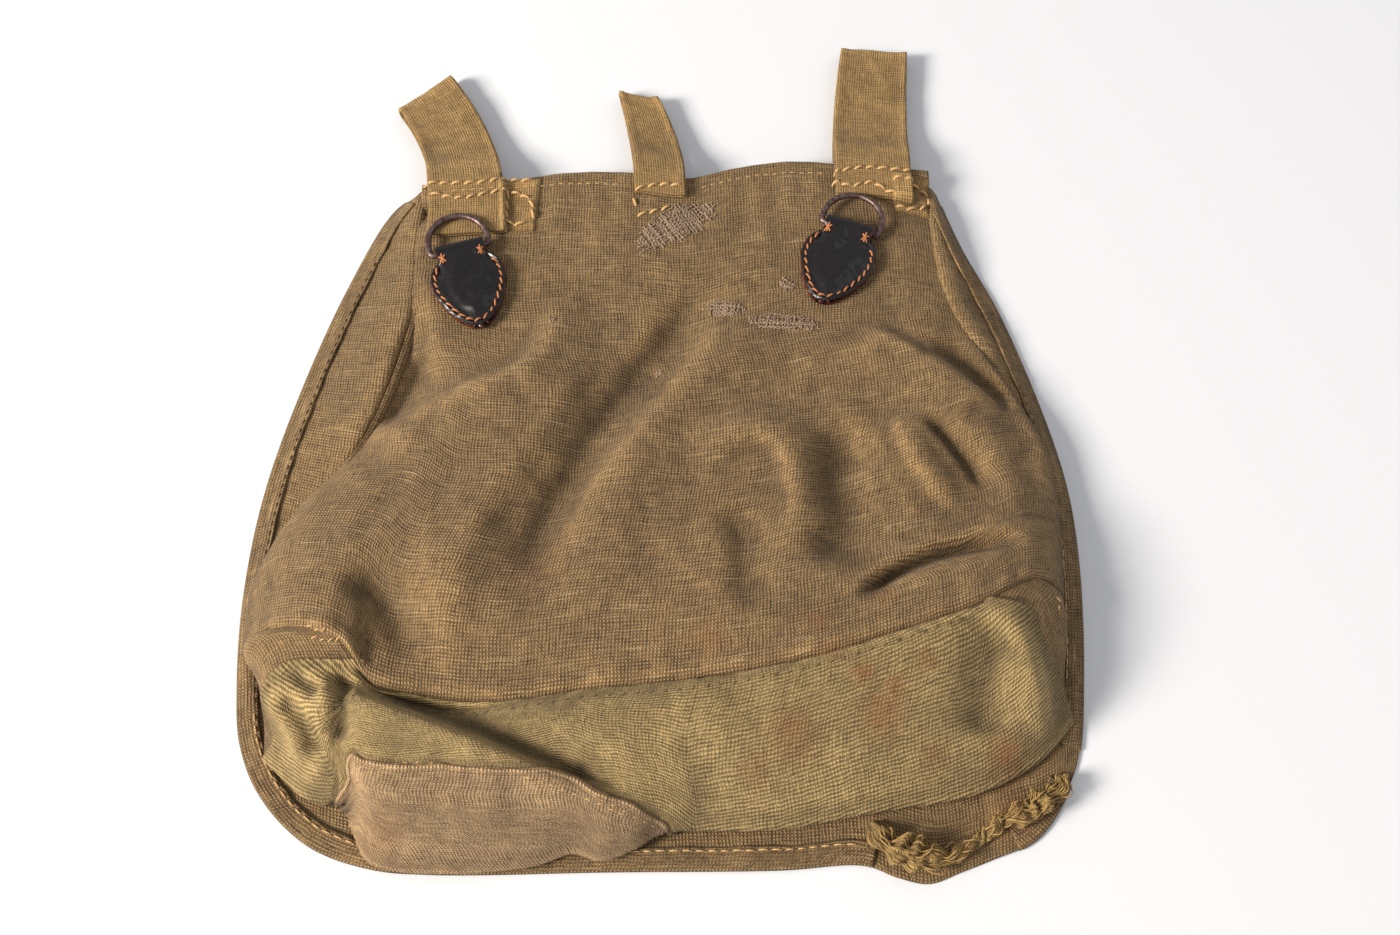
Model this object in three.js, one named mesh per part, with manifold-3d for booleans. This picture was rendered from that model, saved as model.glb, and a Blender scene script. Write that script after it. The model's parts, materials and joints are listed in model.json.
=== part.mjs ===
import * as THREE from 'three';
import { mergeVertices } from 'three/addons/utils/BufferGeometryUtils.js';
import Module from 'manifold-3d';

// A soldier's bread bag of coarse linen, lying face down, so that its back shows.
// Millimetres. +Z is up, +X runs across the bag, and +Y points to the belt loops.
// The bag is drawn from its top edge down, and the whole is centred at the end.

// Driving sizes of the bag
const BAG_WIDTH = 356;
const FLAP_LENGTH = 346;
const PAD_HEIGHT = 12.5;
const BELLY_RISE = 28.5;
const CLOTH = 1.2;
const CLEARANCE = 0.3;
const HEM_WIDTH = 9;
const SEAM_ROOM = 1.2;
const MOUTH_DEPTH = 30;
const TURN_RADIUS = 2.9;
const EDGE_INSET = 3;
const GUSSET_BULGE = 7;
const SIDE_TUCK = 12;
const SIDE_TOP = 34;
const CORNER_SWELL = 5;
const KNOT_ROOM = 6;
const SIDE_ROOM = 2.1;

// Driving sizes of the belt loops: their places across are shares of half the bag's width.
const LOOP_ROOM = 5.2;
const TABLE_ROOM = 0.4;
const LEFT_LOOP = { root: 37, shareAcross: -0.551, width: 38, reach: 73, endWidth: 25, lean: -31, skew: 21 };
const STRAP_LOOP = { root: 16, shareAcross: -0.017, width: 26, reach: 57, endWidth: 20, lean: -13, skew: 0 };
const RIGHT_LOOP = { root: 24, shareAcross: 0.584, width: 38, reach: 82, endWidth: 35, lean: 7, skew: 0 };

// Driving sizes of the leather tabs and their rings
const LEATHER = 2;
const TAB_LENGTH = 45;
const TAB_WIDTH = 37;
const TAB_NECK = 24;
const TAB_BEVEL = 0.5;
const FOLD_TAPER = 13;
const RING_WIDTH = 32;
const RING_WIRE = 3;
const RING_SIDE = 5.5;
const RING_CORNER = 2;
const BORE_ROOM = 0.35;
const RING_LIE = 3;
const LEFT_TAB = { shareAcross: -0.559, down: 53, turn: 17 };
const RIGHT_TAB = { shareAcross: 0.506, down: 40, turn: -20 };

const HALF_WIDTH = BAG_WIDTH / 2;
const UNDER_HEIGHT = 2 * CLOTH + CLEARANCE + CLOTH / 2;
const TURN_HEIGHT = UNDER_HEIGHT + TURN_RADIUS;
const CURL_RADIUS = (PAD_HEIGHT - 2 * CLOTH - CLEARANCE) / 2;

// The top edge from left to right: across as a share of half the width,
// down as a share of the flap's length.
const TOP_EDGE = [
  { across: -0.69, down: 0.034 },
  { across: -0.43, down: 0.024 },
  { across: -0.26, down: 0.011 },
  { across: -0.10, down: 0.011 },
  { across: 0.05, down: 0.022 },
  { across: 0.21, down: 0.002 },
  { across: 0.34, down: -0.009 },
  { across: 0.47, down: -0.006 },
  { across: 0.745, down: 0.008 },
];

// The sides of the back panel from the top edge down: rise is a share of the belly's rise.
const LEFT_EDGE = [
  { across: -0.69, down: 0.034, rise: 0 },
  { across: -0.687, down: 0.236, rise: 0 },
  { across: -0.713, down: 0.302, rise: 0 },
  { across: -0.747, down: 0.390, rise: 0 },
  { across: -0.815, down: 0.481, rise: 0 },
  { across: -0.897, down: 0.549, rise: 0.04 },
  { across: -0.951, down: 0.614, rise: 0.09 },
  { across: -0.981, down: 0.669, rise: 0.12 },
  { across: -0.980, down: 0.751, rise: 0.03 },
];
const RIGHT_EDGE = [
  { across: 0.745, down: 0.008, rise: 0 },
  { across: 0.750, down: 0.150, rise: 0 },
  { across: 0.771, down: 0.227, rise: 0 },
  { across: 0.837, down: 0.310, rise: 0 },
  { across: 0.912, down: 0.390, rise: 0 },
  { across: 0.968, down: 0.459, rise: 0 },
  { across: 0.983, down: 0.540, rise: 0 },
  { across: 0.977, down: 0.611, rise: 0.04 },
  { across: 0.963, down: 0.683, rise: 0.06 },
];

// The seam between back panel and gusset, from left to right.
const BACK_SEAM = [
  { across: -0.980, down: 0.751, rise: 0.03 },
  { across: -0.918, down: 0.736, rise: 0.40 },
  { across: -0.851, down: 0.737, rise: 0.68 },
  { across: -0.788, down: 0.742, rise: 0.78 },
  { across: -0.720, down: 0.757, rise: 0.72 },
  { across: -0.656, down: 0.798, rise: 0.46 },
  { across: -0.516, down: 0.815, rise: 0.44 },
  { across: -0.355, down: 0.821, rise: 0.50 },
  { across: -0.131, down: 0.810, rise: 0.68 },
  { across: 0.055, down: 0.805, rise: 0.79 },
  { across: 0.322, down: 0.782, rise: 0.90 },
  { across: 0.512, down: 0.754, rise: 0.96 },
  { across: 0.738, down: 0.714, rise: 0.97 },
  { across: 0.873, down: 0.674, rise: 0.68 },
  { across: 0.927, down: 0.671, rise: 0.40 },
  { across: 0.963, down: 0.683, rise: 0.06 },
];

// Where the bag's lower edge turns under on the flap, from left to right.
const LOWER_EDGE = [
  { across: -0.909, down: 0.872 },
  { across: -0.863, down: 0.892 },
  { across: -0.801, down: 0.918 },
  { across: -0.716, down: 0.934 },
  { across: -0.677, down: 0.962 },
  { across: -0.645, down: 0.990 },
  { across: -0.580, down: 1.001 },
  { across: -0.478, down: 1.004 },
  { across: -0.346, down: 1.001 },
  { across: -0.259, down: 0.994 },
  { across: -0.187, down: 0.982 },
  { across: -0.126, down: 0.990 },
  { across: -0.051, down: 0.978 },
  { across: 0.013, down: 0.960 },
  { across: 0.275, down: 0.954 },
  { across: 0.513, down: 0.933 },
  { across: 0.656, down: 0.922 },
  { across: 0.766, down: 0.906 },
  { across: 0.883, down: 0.872 },
  { across: 0.962, down: 0.828 },
];

// The flap's free edge, from the top edge's left end round to its right end.
const FLAP_SIDES = [
  { across: -0.712, down: 0.02 },
  { across: -0.775, down: 0.054 },
  { across: -0.873, down: 0.188 },
  { across: -0.963, down: 0.370 },
  { across: -1.012, down: 0.522 },
  { across: -1.021, down: 0.663 },
  { across: -1.000, down: 0.782 },
  { across: -0.971, down: 0.853 },
  { across: -0.905, down: 0.915 },
  { across: -0.783, down: 0.971 },
  { across: -0.637, down: 0.997 },
  { across: -0.502, down: 1.003 },
  { across: -0.100, down: 1.000 },
  { across: 0.274, down: 0.998 },
  { across: 0.462, down: 0.993 },
  { across: 0.537, down: 1.007 },
  { across: 0.606, down: 1.014 },
  { across: 0.673, down: 1.002 },
  { across: 0.745, down: 0.988 },
  { across: 0.846, down: 0.966 },
  { across: 0.917, down: 0.926 },
  { across: 0.970, down: 0.870 },
  { across: 1.004, down: 0.777 },
  { across: 1.034, down: 0.608 },
  { across: 1.023, down: 0.478 },
  { across: 0.915, down: 0.239 },
  { across: 0.827, down: 0.118 },
  { across: 0.772, down: 0.020 },
];
const EDGE_POINTS = 72;

// The gusset's two end seams, from the back seam down to the lower edge:
// fall is the share of the height between the two that is lost.
const LEFT_CORNER = [
  { across: -0.855, down: 0.778, fall: 0.07 },
  { across: -0.904, down: 0.808, fall: 0.29 },
  { across: -0.889, down: 0.830, fall: 0.47 },
  { across: -0.876, down: 0.852, fall: 0.68 },
  { across: -0.895, down: 0.866, fall: 0.90 },
];
const RIGHT_CORNER = [
  { across: 0.846, down: 0.713, fall: 0.10 },
  { across: 0.881, down: 0.744, fall: 0.30 },
  { across: 0.914, down: 0.771, fall: 0.54 },
  { across: 0.944, down: 0.803, fall: 0.81 },
];
const LEFT_KNOT_SHARE = 0.165;
const RIGHT_KNOT_SHARE = 0.875;

// How the back panel swells from its top edge (0) to the gusset's seam (1).
const SWELL = [
  { down: 0, rise: 0 },
  { down: 0.32, rise: 0 },
  { down: 0.50, rise: 0.20 },
  { down: 0.70, rise: 0.52 },
  { down: 0.88, rise: 0.78 },
  { down: 1, rise: 0.82 },
];
const SWELL_POWER = 0.55;
const SEAM_HOLD_SHARE = 0.78;

// Where the front panel's seam lies between back seam (0) and lower edge (1), from left
// to right: past 1 it is turned under the bag.
const FRONT_SEAM = [
  { along: 0, share: 1.12 },
  { along: 0.105, share: 1.12 },
  { along: 0.125, share: 0.66 },
  { along: 0.17, share: 0.58 },
  { along: 0.26, share: 0.56 },
  { along: 0.38, share: 0.63 },
  { along: 0.46, share: 0.78 },
  { along: 0.51, share: 0.97 },
  { along: 0.54, share: 1.12 },
  { along: 1, share: 1.12 },
];

// Folds of the back panel: a crease runs from, through via, to its end. Width is a share of
// half the bag's width and rise a share of the belly's rise, below zero in a valley.
const BACK_FOLDS = [
  { from: [-0.58, 0.34], via: [-0.66, 0.40], to: [-0.72, 0.46], width: 0.06, rise: -0.10 },
  { from: [-0.76, 0.48], via: [-0.54, 0.42], to: [-0.24, 0.24], width: 0.09, rise: 0.16 },
  { from: [-0.35, 0.72], via: [-0.20, 0.46], to: [0.12, 0.17], width: 0.08, rise: -0.20 },
  { from: [-0.12, 0.62], via: [0.02, 0.42], to: [0.20, 0.30], width: 0.09, rise: 0.10 },
  { from: [0.10, 0.50], via: [0.28, 0.46], to: [0.36, 0.66], width: 0.10, rise: 0.14 },
  { from: [0.20, 0.58], via: [0.20, 0.66], to: [0.24, 0.74], width: 0.06, rise: -0.10 },
  { from: [0.50, 0.42], via: [0.42, 0.48], to: [0.44, 0.60], width: 0.11, rise: -0.20 },
  { from: [0.48, 0.27], via: [0.72, 0.35], to: [0.92, 0.44], width: 0.08, rise: 0.18 },
  { from: [0.66, 0.45], via: [0.76, 0.49], to: [0.84, 0.56], width: 0.05, rise: -0.18 },
  { from: [0.60, 0.50], via: [0.70, 0.56], to: [0.76, 0.64], width: 0.08, rise: 0.10 },
  { from: [0.50, 0.72], via: [0.70, 0.64], to: [0.90, 0.62], width: 0.06, rise: -0.34 },
  { from: [-0.72, 0.68], via: [-0.62, 0.72], to: [-0.54, 0.77], width: 0.10, rise: -0.26 },
];

// Folds of the gusset and of the front panel below it.
const LOW_FOLDS = [
  { from: [-0.66, 0.815], via: [-0.36, 0.865], to: [-0.02, 0.93], width: 0.055, rise: -0.30 },
  { from: [-0.78, 0.835], via: [-0.40, 0.892], to: [-0.04, 0.950], width: 0.06, rise: 0.12 },
  { from: [0.80, 0.74], via: [0.76, 0.80], to: [0.76, 0.87], width: 0.09, rise: -0.16 },
];

const CLOTH_BROWN = 0x7d6745;
const CLOTH_OLIVE = 0x93845a;
const LOOP_BROWN = 0x85704b;
const LEATHER_BLACK = 0x1f1c1d;
const STEEL_BROWN = 0x5b4a48;

const wasm = await Module();
wasm.setup();

const lerp = THREE.MathUtils.lerp;
const clamp = THREE.MathUtils.clamp;

function evenSteps(count, start = 0, end = 1) {
  return Array.from({ length: count + 1 }, (_, i) => lerp(start, end, i / count));
}

function smoothStep(x) {
  const c = clamp(x, 0, 1);
  return c * c * (3 - 2 * c);
}

function place(across, down, z) {
  return new THREE.Vector3(across * HALF_WIDTH, -down * FLAP_LENGTH, z);
}

function rail(points) {
  return new THREE.CatmullRomCurve3(points, false, 'centripetal');
}

function riseRail(rows) {
  return rail(rows.map((row) => place(row.across, row.down, PAD_HEIGHT + row.rise * BELLY_RISE)));
}

// One column of a table, read smoothly between its rows.
function readTable(rows, key, column, value) {
  const last = rows.length - 1;
  const x = clamp(value, rows[0][key], rows[last][key]);
  let i = 0;
  while (i < last - 1 && x > rows[i + 1][key]) i += 1;
  const slope = (k) => {
    const a = rows[Math.max(k - 1, 0)];
    const b = rows[Math.min(k + 1, last)];
    return (b[column] - a[column]) / (b[key] - a[key]);
  };
  const span = rows[i + 1][key] - rows[i][key];
  const t = (x - rows[i][key]) / span;
  const p = rows[i][column];
  const q = rows[i + 1][column];
  const m = slope(i) * span;
  const n = slope(i + 1) * span;
  const rest = 1 - t;
  const bend = m * t * rest * rest - n * t * t * rest;
  return p * rest * rest * (1 + 2 * t) + q * t * t * (3 - 2 * t) + bend;
}

// A patch held by four rails: top and low run across, left and right run down.
function patch(top, low, left, right, s, t) {
  const a = top(s).multiplyScalar(1 - t).addScaledVector(low(s), t);
  const b = left(t).multiplyScalar(1 - s).addScaledVector(right(t), s);
  const c = top(0).multiplyScalar((1 - s) * (1 - t));
  c.addScaledVector(top(1), s * (1 - t));
  c.addScaledVector(low(0), (1 - s) * t);
  c.addScaledVector(low(1), s * t);
  return a.add(b).sub(c);
}

function distanceToLine(p, a, b) {
  const ab = b.clone().sub(a);
  const share = clamp(p.clone().sub(a).dot(ab) / ab.lengthSq(), 0, 1);
  return p.distanceTo(a.clone().addScaledVector(ab, share));
}

function foldHeight(folds, x, y) {
  const p = new THREE.Vector2(x, y);
  const flat = ([across, down]) => new THREE.Vector2(across * HALF_WIDTH, -down * FLAP_LENGTH);
  return folds.reduce((sum, fold) => {
    const near = Math.min(
      distanceToLine(p, flat(fold.from), flat(fold.via)),
      distanceToLine(p, flat(fold.via), flat(fold.to)),
    );
    const width = fold.width * HALF_WIDTH;
    return sum + fold.rise * BELLY_RISE * Math.exp(-((near / width) ** 2));
  }, 0);
}

// A closed cloth wall on both sides of a surface, sampled at the given places.
function wall(surface, columns, rows) {
  const step = 1e-3;
  const positions = [];
  const index = [];
  const wide = columns.length;
  const high = rows.length;
  const sides = [0.5, -0.5];
  const grid = rows.map((t) => columns.map((s) => {
    const along = surface(s + step, t).sub(surface(s - step, t));
    const down = surface(s, t + step).sub(surface(s, t - step));
    return { point: surface(s, t), normal: along.cross(down).normalize() };
  }));
  for (const side of sides) {
    for (const { point, normal } of grid.flat()) {
      const p = point.clone().addScaledVector(normal, side * CLOTH);
      positions.push(p.x, p.y, p.z);
    }
  }
  const at = (layer, i, j) => layer * wide * high + j * wide + i;
  const quad = (a, b, c, d) => index.push(a, b, c, a, c, d);
  for (let j = 0; j < high - 1; j += 1) {
    for (let i = 0; i < wide - 1; i += 1) {
      quad(at(0, i, j), at(0, i + 1, j), at(0, i + 1, j + 1), at(0, i, j + 1));
      quad(at(1, i, j), at(1, i, j + 1), at(1, i + 1, j + 1), at(1, i + 1, j));
    }
  }
  for (let i = 0; i < wide - 1; i += 1) {
    quad(at(0, i, 0), at(1, i, 0), at(1, i + 1, 0), at(0, i + 1, 0));
    quad(at(0, i + 1, high - 1), at(1, i + 1, high - 1), at(1, i, high - 1), at(0, i, high - 1));
  }
  for (let j = 0; j < high - 1; j += 1) {
    quad(at(0, 0, j + 1), at(1, 0, j + 1), at(1, 0, j), at(0, 0, j));
    quad(at(0, wide - 1, j), at(1, wide - 1, j), at(1, wide - 1, j + 1), at(0, wide - 1, j + 1));
  }
  const geometry = new THREE.BufferGeometry();
  geometry.setAttribute('position', new THREE.Float32BufferAttribute(positions, 3));
  geometry.setIndex(index);
  return geometry;
}

function solid(geometry) {
  const bare = geometry.clone();
  bare.deleteAttribute('normal');
  bare.deleteAttribute('uv');
  const merged = mergeVertices(bare, 1e-4);
  return new wasm.Manifold(new wasm.Mesh({
    numProp: 3,
    vertProperties: new Float32Array(merged.attributes.position.array),
    triVerts: new Uint32Array(merged.index.array),
  }));
}

function geometryOf(manifold) {
  const mesh = manifold.getMesh();
  const geometry = new THREE.BufferGeometry();
  geometry.setAttribute('position', new THREE.Float32BufferAttribute(mesh.vertProperties, 3));
  geometry.setIndex(Array.from(mesh.triVerts));
  return geometry;
}

function piece(name, geometry, color, roughness, metalness = 0) {
  geometry.computeVertexNormals();
  const material = new THREE.MeshStandardMaterial({ color, roughness, metalness, flatShading: true });
  const mesh = new THREE.Mesh(geometry, material);
  mesh.name = name;
  return mesh;
}

// Rails that the cloth pieces share
const topRail = rail(TOP_EDGE.map((row) => place(row.across, row.down, PAD_HEIGHT)));
const leftRail = riseRail(LEFT_EDGE);
const rightRail = riseRail(RIGHT_EDGE);
const seamRail = riseRail(BACK_SEAM);
const lowRail = rail(LOWER_EDGE.map((row) => place(row.across, row.down, TURN_HEIGHT)));

function cornerRail(rows, knot, end) {
  const top = seamRail.getPointAt(knot);
  const low = lowRail.getPointAt(end);
  const middle = rows.map((row) => place(row.across, row.down, lerp(top.z, TURN_HEIGHT, row.fall)));
  return rail([top, ...middle, low]);
}

const leftCorner = cornerRail(LEFT_CORNER, LEFT_KNOT_SHARE, 0);
const rightCorner = cornerRail(RIGHT_CORNER, RIGHT_KNOT_SHARE, 1);
const gussetTop = (s) => seamRail.getPointAt(lerp(LEFT_KNOT_SHARE, RIGHT_KNOT_SHARE, clamp(s, 0, 1)));
const onRail = (curve) => (u) => curve.getPointAt(clamp(u, 0, 1));

// Which way the bag lies from its lower edge, level with the table.
function inwardAt(s) {
  const tangent = lowRail.getTangentAt(clamp(s, 0, 1));
  return new THREE.Vector3(-tangent.y, tangent.x, 0).normalize();
}

// The front panel lies flat under the bag, a little inside the back panel's sides.
function underSide(edge, sign, end) {
  const mouth = MOUTH_DEPTH / edge.getLength();
  const points = [underEdge(end)];
  for (const u of evenSteps(7, 0.94, mouth)) {
    const p = edge.getPointAt(u);
    points.push(new THREE.Vector3(p.x - sign * EDGE_INSET, p.y, UNDER_HEIGHT));
  }
  return rail(points);
}

function underEdge(s) {
  const p = lowRail.getPointAt(clamp(s, 0, 1)).addScaledVector(inwardAt(s), TURN_RADIUS);
  p.z = UNDER_HEIGHT;
  return p;
}

const underLeft = underSide(leftRail, -1, 0);
const underRight = underSide(rightRail, 1, 1);
const mouthRail = (s) => underLeft.getPointAt(1).lerp(underRight.getPointAt(1), s);

// Height of the back panel's middle layer. It is level where the tabs and loops are sewn on.
function tabMask(x, y) {
  return [LEFT_TAB, RIGHT_TAB].reduce((mask, tab) => {
    const turn = THREE.MathUtils.degToRad(tab.turn);
    const bar = new THREE.Vector2(tab.shareAcross * HALF_WIDTH, -tab.down);
    const along = new THREE.Vector2(Math.sin(turn), -Math.cos(turn));
    const tip = bar.clone().addScaledVector(along, TAB_LENGTH);
    const away = distanceToLine(new THREE.Vector2(x, y), bar, tip);
    return mask * smoothStep((away - 0.6 * TAB_WIDTH) / (0.5 * TAB_WIDTH));
  }, 1);
}

function backSurface(s, t) {
  if (t < 0) return curlSurface(s, t);
  const p = patch(onRail(topRail), onRail(seamRail), onRail(leftRail), onRail(rightRail), s, t);
  const across = clamp(s, 0, 1);
  const arch = Math.sin(Math.PI * across) ** SWELL_POWER;
  const swell = arch * readTable(SWELL, 'down', 'rise', t) * BELLY_RISE;
  const edge = lerp(leftRail.getPointAt(clamp(t, 0, 1)).z, rightRail.getPointAt(clamp(t, 0, 1)).z, across);
  const hold = smoothStep((t - SEAM_HOLD_SHARE) / (1 - SEAM_HOLD_SHARE));
  const seam = seamRail.getPointAt(across).z;
  const border = smoothStep(across / 0.06) * smoothStep((1 - across) / 0.06) * (1 - hold ** 3);
  const levelled = smoothStep((t - 0.12) / 0.12) * tabMask(p.x, p.y);
  p.z = lerp(edge + swell, seam, hold) + foldHeight(BACK_FOLDS, p.x, p.y) * border * levelled - CLOTH / 2;
  return p;
}

// The back panel curls over at its top edge and comes down on the flap.
function curlSurface(s, t) {
  const angle = clamp(-t, 0, 1) * Math.PI;
  const p = topRail.getPointAt(clamp(s, 0, 1));
  p.y += CURL_RADIUS * Math.sin(angle);
  p.z = PAD_HEIGHT - CLOTH / 2 - CURL_RADIUS * (1 - Math.cos(angle));
  return p;
}

// How far up the bag the curled top edge reaches at a place across it.
function curlFace(x) {
  const start = topRail.getPointAt(0).x;
  const end = topRail.getPointAt(1).x;
  return topRail.getPointAt(clamp((x - start) / (end - start), 0, 1)).y + CURL_RADIUS + CLOTH / 2;
}

// The bag's lower body: from the back seam (0) over the gusset to the lower edge (1),
// round it, and on below the bag to the front panel's mouth (2).
const TURN_SHARE = 0.04;
const UNDER_SHARE = 1.24;
const bodySpan = gussetTop(0.5).distanceTo(lowRail.getPointAt(0.5));

function lowSurface(s, share) {
  const across = clamp(s, 0, 1);
  if (share <= 1) {
    const t = Math.max(share, 0);
    const p = patch(gussetTop, onRail(lowRail), onRail(leftCorner), onRail(rightCorner), across, t);
    const inside = smoothStep(across / 0.05) * smoothStep((1 - across) / 0.05) * smoothStep((1 - t) / 0.12);
    p.z += GUSSET_BULGE * Math.sin(Math.PI * t) * inside;
    p.z += foldHeight(LOW_FOLDS, p.x, p.y) * inside * smoothStep(t / 0.1);
    p.z -= CLOTH / 2 * (1 - t);
    return p;
  }
  if (share <= 1 + TURN_SHARE) {
    const angle = (share - 1) / TURN_SHARE * Math.PI / 2;
    const p = lowRail.getPointAt(across);
    p.addScaledVector(inwardAt(across), TURN_RADIUS * (1 - Math.cos(angle)));
    p.z = TURN_HEIGHT - TURN_RADIUS * Math.sin(angle);
    return p;
  }
  const t = (share - 1 - TURN_SHARE) / (1 - TURN_SHARE);
  return patch(underEdge, mouthRail, onRail(underLeft), onRail(underRight), across, t);
}

function frontSeam(s) {
  return readTable(FRONT_SEAM, 'along', 'share', clamp(s, 0, 1));
}

function backPanel() {
  const rows = [...evenSteps(4, -1, -0.25), ...evenSteps(24, 0, 1 - SEAM_ROOM / 2 / leftRail.getLength())];
  return wall(backSurface, evenSteps(28), rows);
}

// Columns of the lower body stand closer where the front panel's seam climbs and drops.
function lowColumns() {
  const climb = [0, 0.03, 0.06, 0.085, 0.105, 0.125, 0.15];
  return [...climb, ...evenSteps(11, 0.19, 0.49), ...evenSteps(12, 0.51, 1)];
}

// Half the room between two pieces at the front seam, wider where the seam runs steeply.
function seamShare(s) {
  const step = 0.014;
  const climb = (frontSeam(s + step) - frontSeam(s - step)) / (2 * step) * bodySpan / lowRail.getLength();
  return SEAM_ROOM / 2 / bodySpan * Math.hypot(1, climb);
}

function gusset() {
  return wall((s, v) => {
    const start = SEAM_ROOM / 2 / bodySpan;
    return lowSurface(s, lerp(start, frontSeam(s) - seamShare(s), clamp(v, 0, 1)));
  }, lowColumns(), evenSteps(11));
}

function frontPanel() {
  const rows = [...evenSteps(7, 0, 0.4), ...evenSteps(5, 0.5, 1)];
  return wall((s, v) => {
    const start = frontSeam(s) + seamShare(s);
    const share = v < 0.4 ? lerp(start, UNDER_SHARE, v / 0.4) : lerp(UNDER_SHARE, 2, (v - 0.4) / 0.6);
    return lowSurface(s, Math.max(share, start));
  }, lowColumns(), rows);
}

// A point beside a seam, level with it: to the left of its run where side is 1.
function beside(curve, u, side) {
  const tangent = curve.getTangentAt(u);
  const away = new THREE.Vector3(-tangent.y, tangent.x, 0).normalize();
  const p = curve.getPointAt(u).addScaledVector(away, side * SIDE_ROOM);
  p.z -= CLOTH;
  return p;
}

// The point between back seam and end seam where a side gusset runs out to nothing.
function knotPoint(corner, knotStart, knotEnd) {
  const knot = seamRail.getPointAt(knotEnd);
  const back = seamRail.getPointAt(lerp(knotEnd, knotStart, 0.2)).sub(knot).normalize();
  const fore = corner.getPointAt(0.2).sub(knot).normalize();
  const p = knot.addScaledVector(back.add(fore).normalize(), KNOT_ROOM);
  p.z -= CLOTH;
  return p;
}

// A side gusset hangs under the back panel's side and is tucked in towards the bag's middle.
// At the bag's lower corner it swells out, runs along the back seam to the knot, and ends at
// the bottom gusset's end seam.
function sideGusset(sign, edge, under, corner, knotStart, knotEnd) {
  const drop = 1.5 * CLOTH + CLEARANCE;
  const knot = knotPoint(corner, knotStart, knotEnd);
  const sides = evenSteps(8, SIDE_TOP / edge.getLength(), 0.95).map((u) => {
    const p = edge.getPointAt(u);
    p.x -= sign * EDGE_INSET;
    p.z -= CLOTH / 2 + drop;
    return p;
  });
  const seam = evenSteps(5, 0.10, 0.8).map((u) => {
    const p = beside(seamRail, lerp(knotStart, knotEnd, u), -1);
    p.z -= 3 * drop * (1 - u) ** 3;
    return p;
  });
  const ends = evenSteps(6, 0.3, 1).map((u) => beside(corner, u, sign));
  const level = (p) => new THREE.Vector3(p.x, p.y, UNDER_HEIGHT + drop);
  const below = evenSteps(5, 0.17, 0.045).map((u) => level(under.getPointAt(u)));
  const upperRail = rail([...sides, ...seam, knot]);
  const endRail = rail([knot, ...ends]);
  const lowerRail = rail([...sides.map(level), ...below, ends[ends.length - 1]]);
  const turn = sides.length / (sides.length + seam.length);
  return wall((a, b) => {
    const along = clamp(a, 0, 1);
    const across = clamp(sign > 0 ? b : 1 - b, 0, 1);
    const straight = knot.clone().lerp(endRail.getPointAt(1), across);
    const bend = endRail.getPointAt(across).sub(straight);
    const high = upperRail.getPoint(along);
    const low = lowerRail.getPoint(along);
    const p = high.clone().lerp(low, across);
    p.addScaledVector(bend, smoothStep((along - turn) / (1 - turn)));
    const height = high.z - low.z;
    const limit = height * height / (6 * CLOTH);
    const corner = smoothStep((along - turn) / 0.2) * smoothStep((1 - along) / 0.2);
    const tuck = smoothStep((turn - 0.03 - along) / 0.08);
    const depth = Math.min(CORNER_SWELL, limit) * corner - Math.min(SIDE_TUCK, limit) * tuck;
    p.x += sign * depth * 4 * across * (1 - across);
    return p;
  }, [...evenSteps(8, 0, turn - 0.07), ...evenSteps(12, turn - 0.04, 1)], evenSteps(4));
}

const leftSide = () => sideGusset(-1, leftRail, underLeft, leftCorner, 0, LEFT_KNOT_SHARE);
const rightSide = () => sideGusset(1, rightRail, underRight, rightCorner, 1, RIGHT_KNOT_SHARE);

// The flap is the back panel's cloth turned over the top edge, and lies flat on the table.
function flap() {
  const side = rail(FLAP_SIDES.map((row) => place(row.across, row.down, 0)));
  const outer = side.getSpacedPoints(EDGE_POINTS).map((p) => new THREE.Vector2(p.x, p.y));
  const top = topRail.getSpacedPoints(12).map((p) => new THREE.Vector2(p.x, p.y + CURL_RADIUS)).reverse();
  const plate = new THREE.ExtrudeGeometry(new THREE.Shape([...outer, ...top]), {
    depth: CLOTH, bevelEnabled: false,
  });
  const hem = outer.filter((p) => p.y < curlFace(p.x) - 3 * CURL_RADIUS);
  const inner = hem.map((p, i) => {
    const before = hem[Math.max(i - 1, 0)];
    const after = hem[Math.min(i + 1, hem.length - 1)];
    const along = after.clone().sub(before).normalize();
    return new THREE.Vector2(p.x - along.y * HEM_WIDTH, p.y + along.x * HEM_WIDTH);
  });
  const band = new THREE.ExtrudeGeometry(new THREE.Shape([...hem, ...inner.reverse()]), {
    depth: CLOTH, bevelEnabled: false,
  });
  band.translate(0, 0, CLOTH);
  return geometryOf(solid(plate).add(solid(band)));
}

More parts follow.
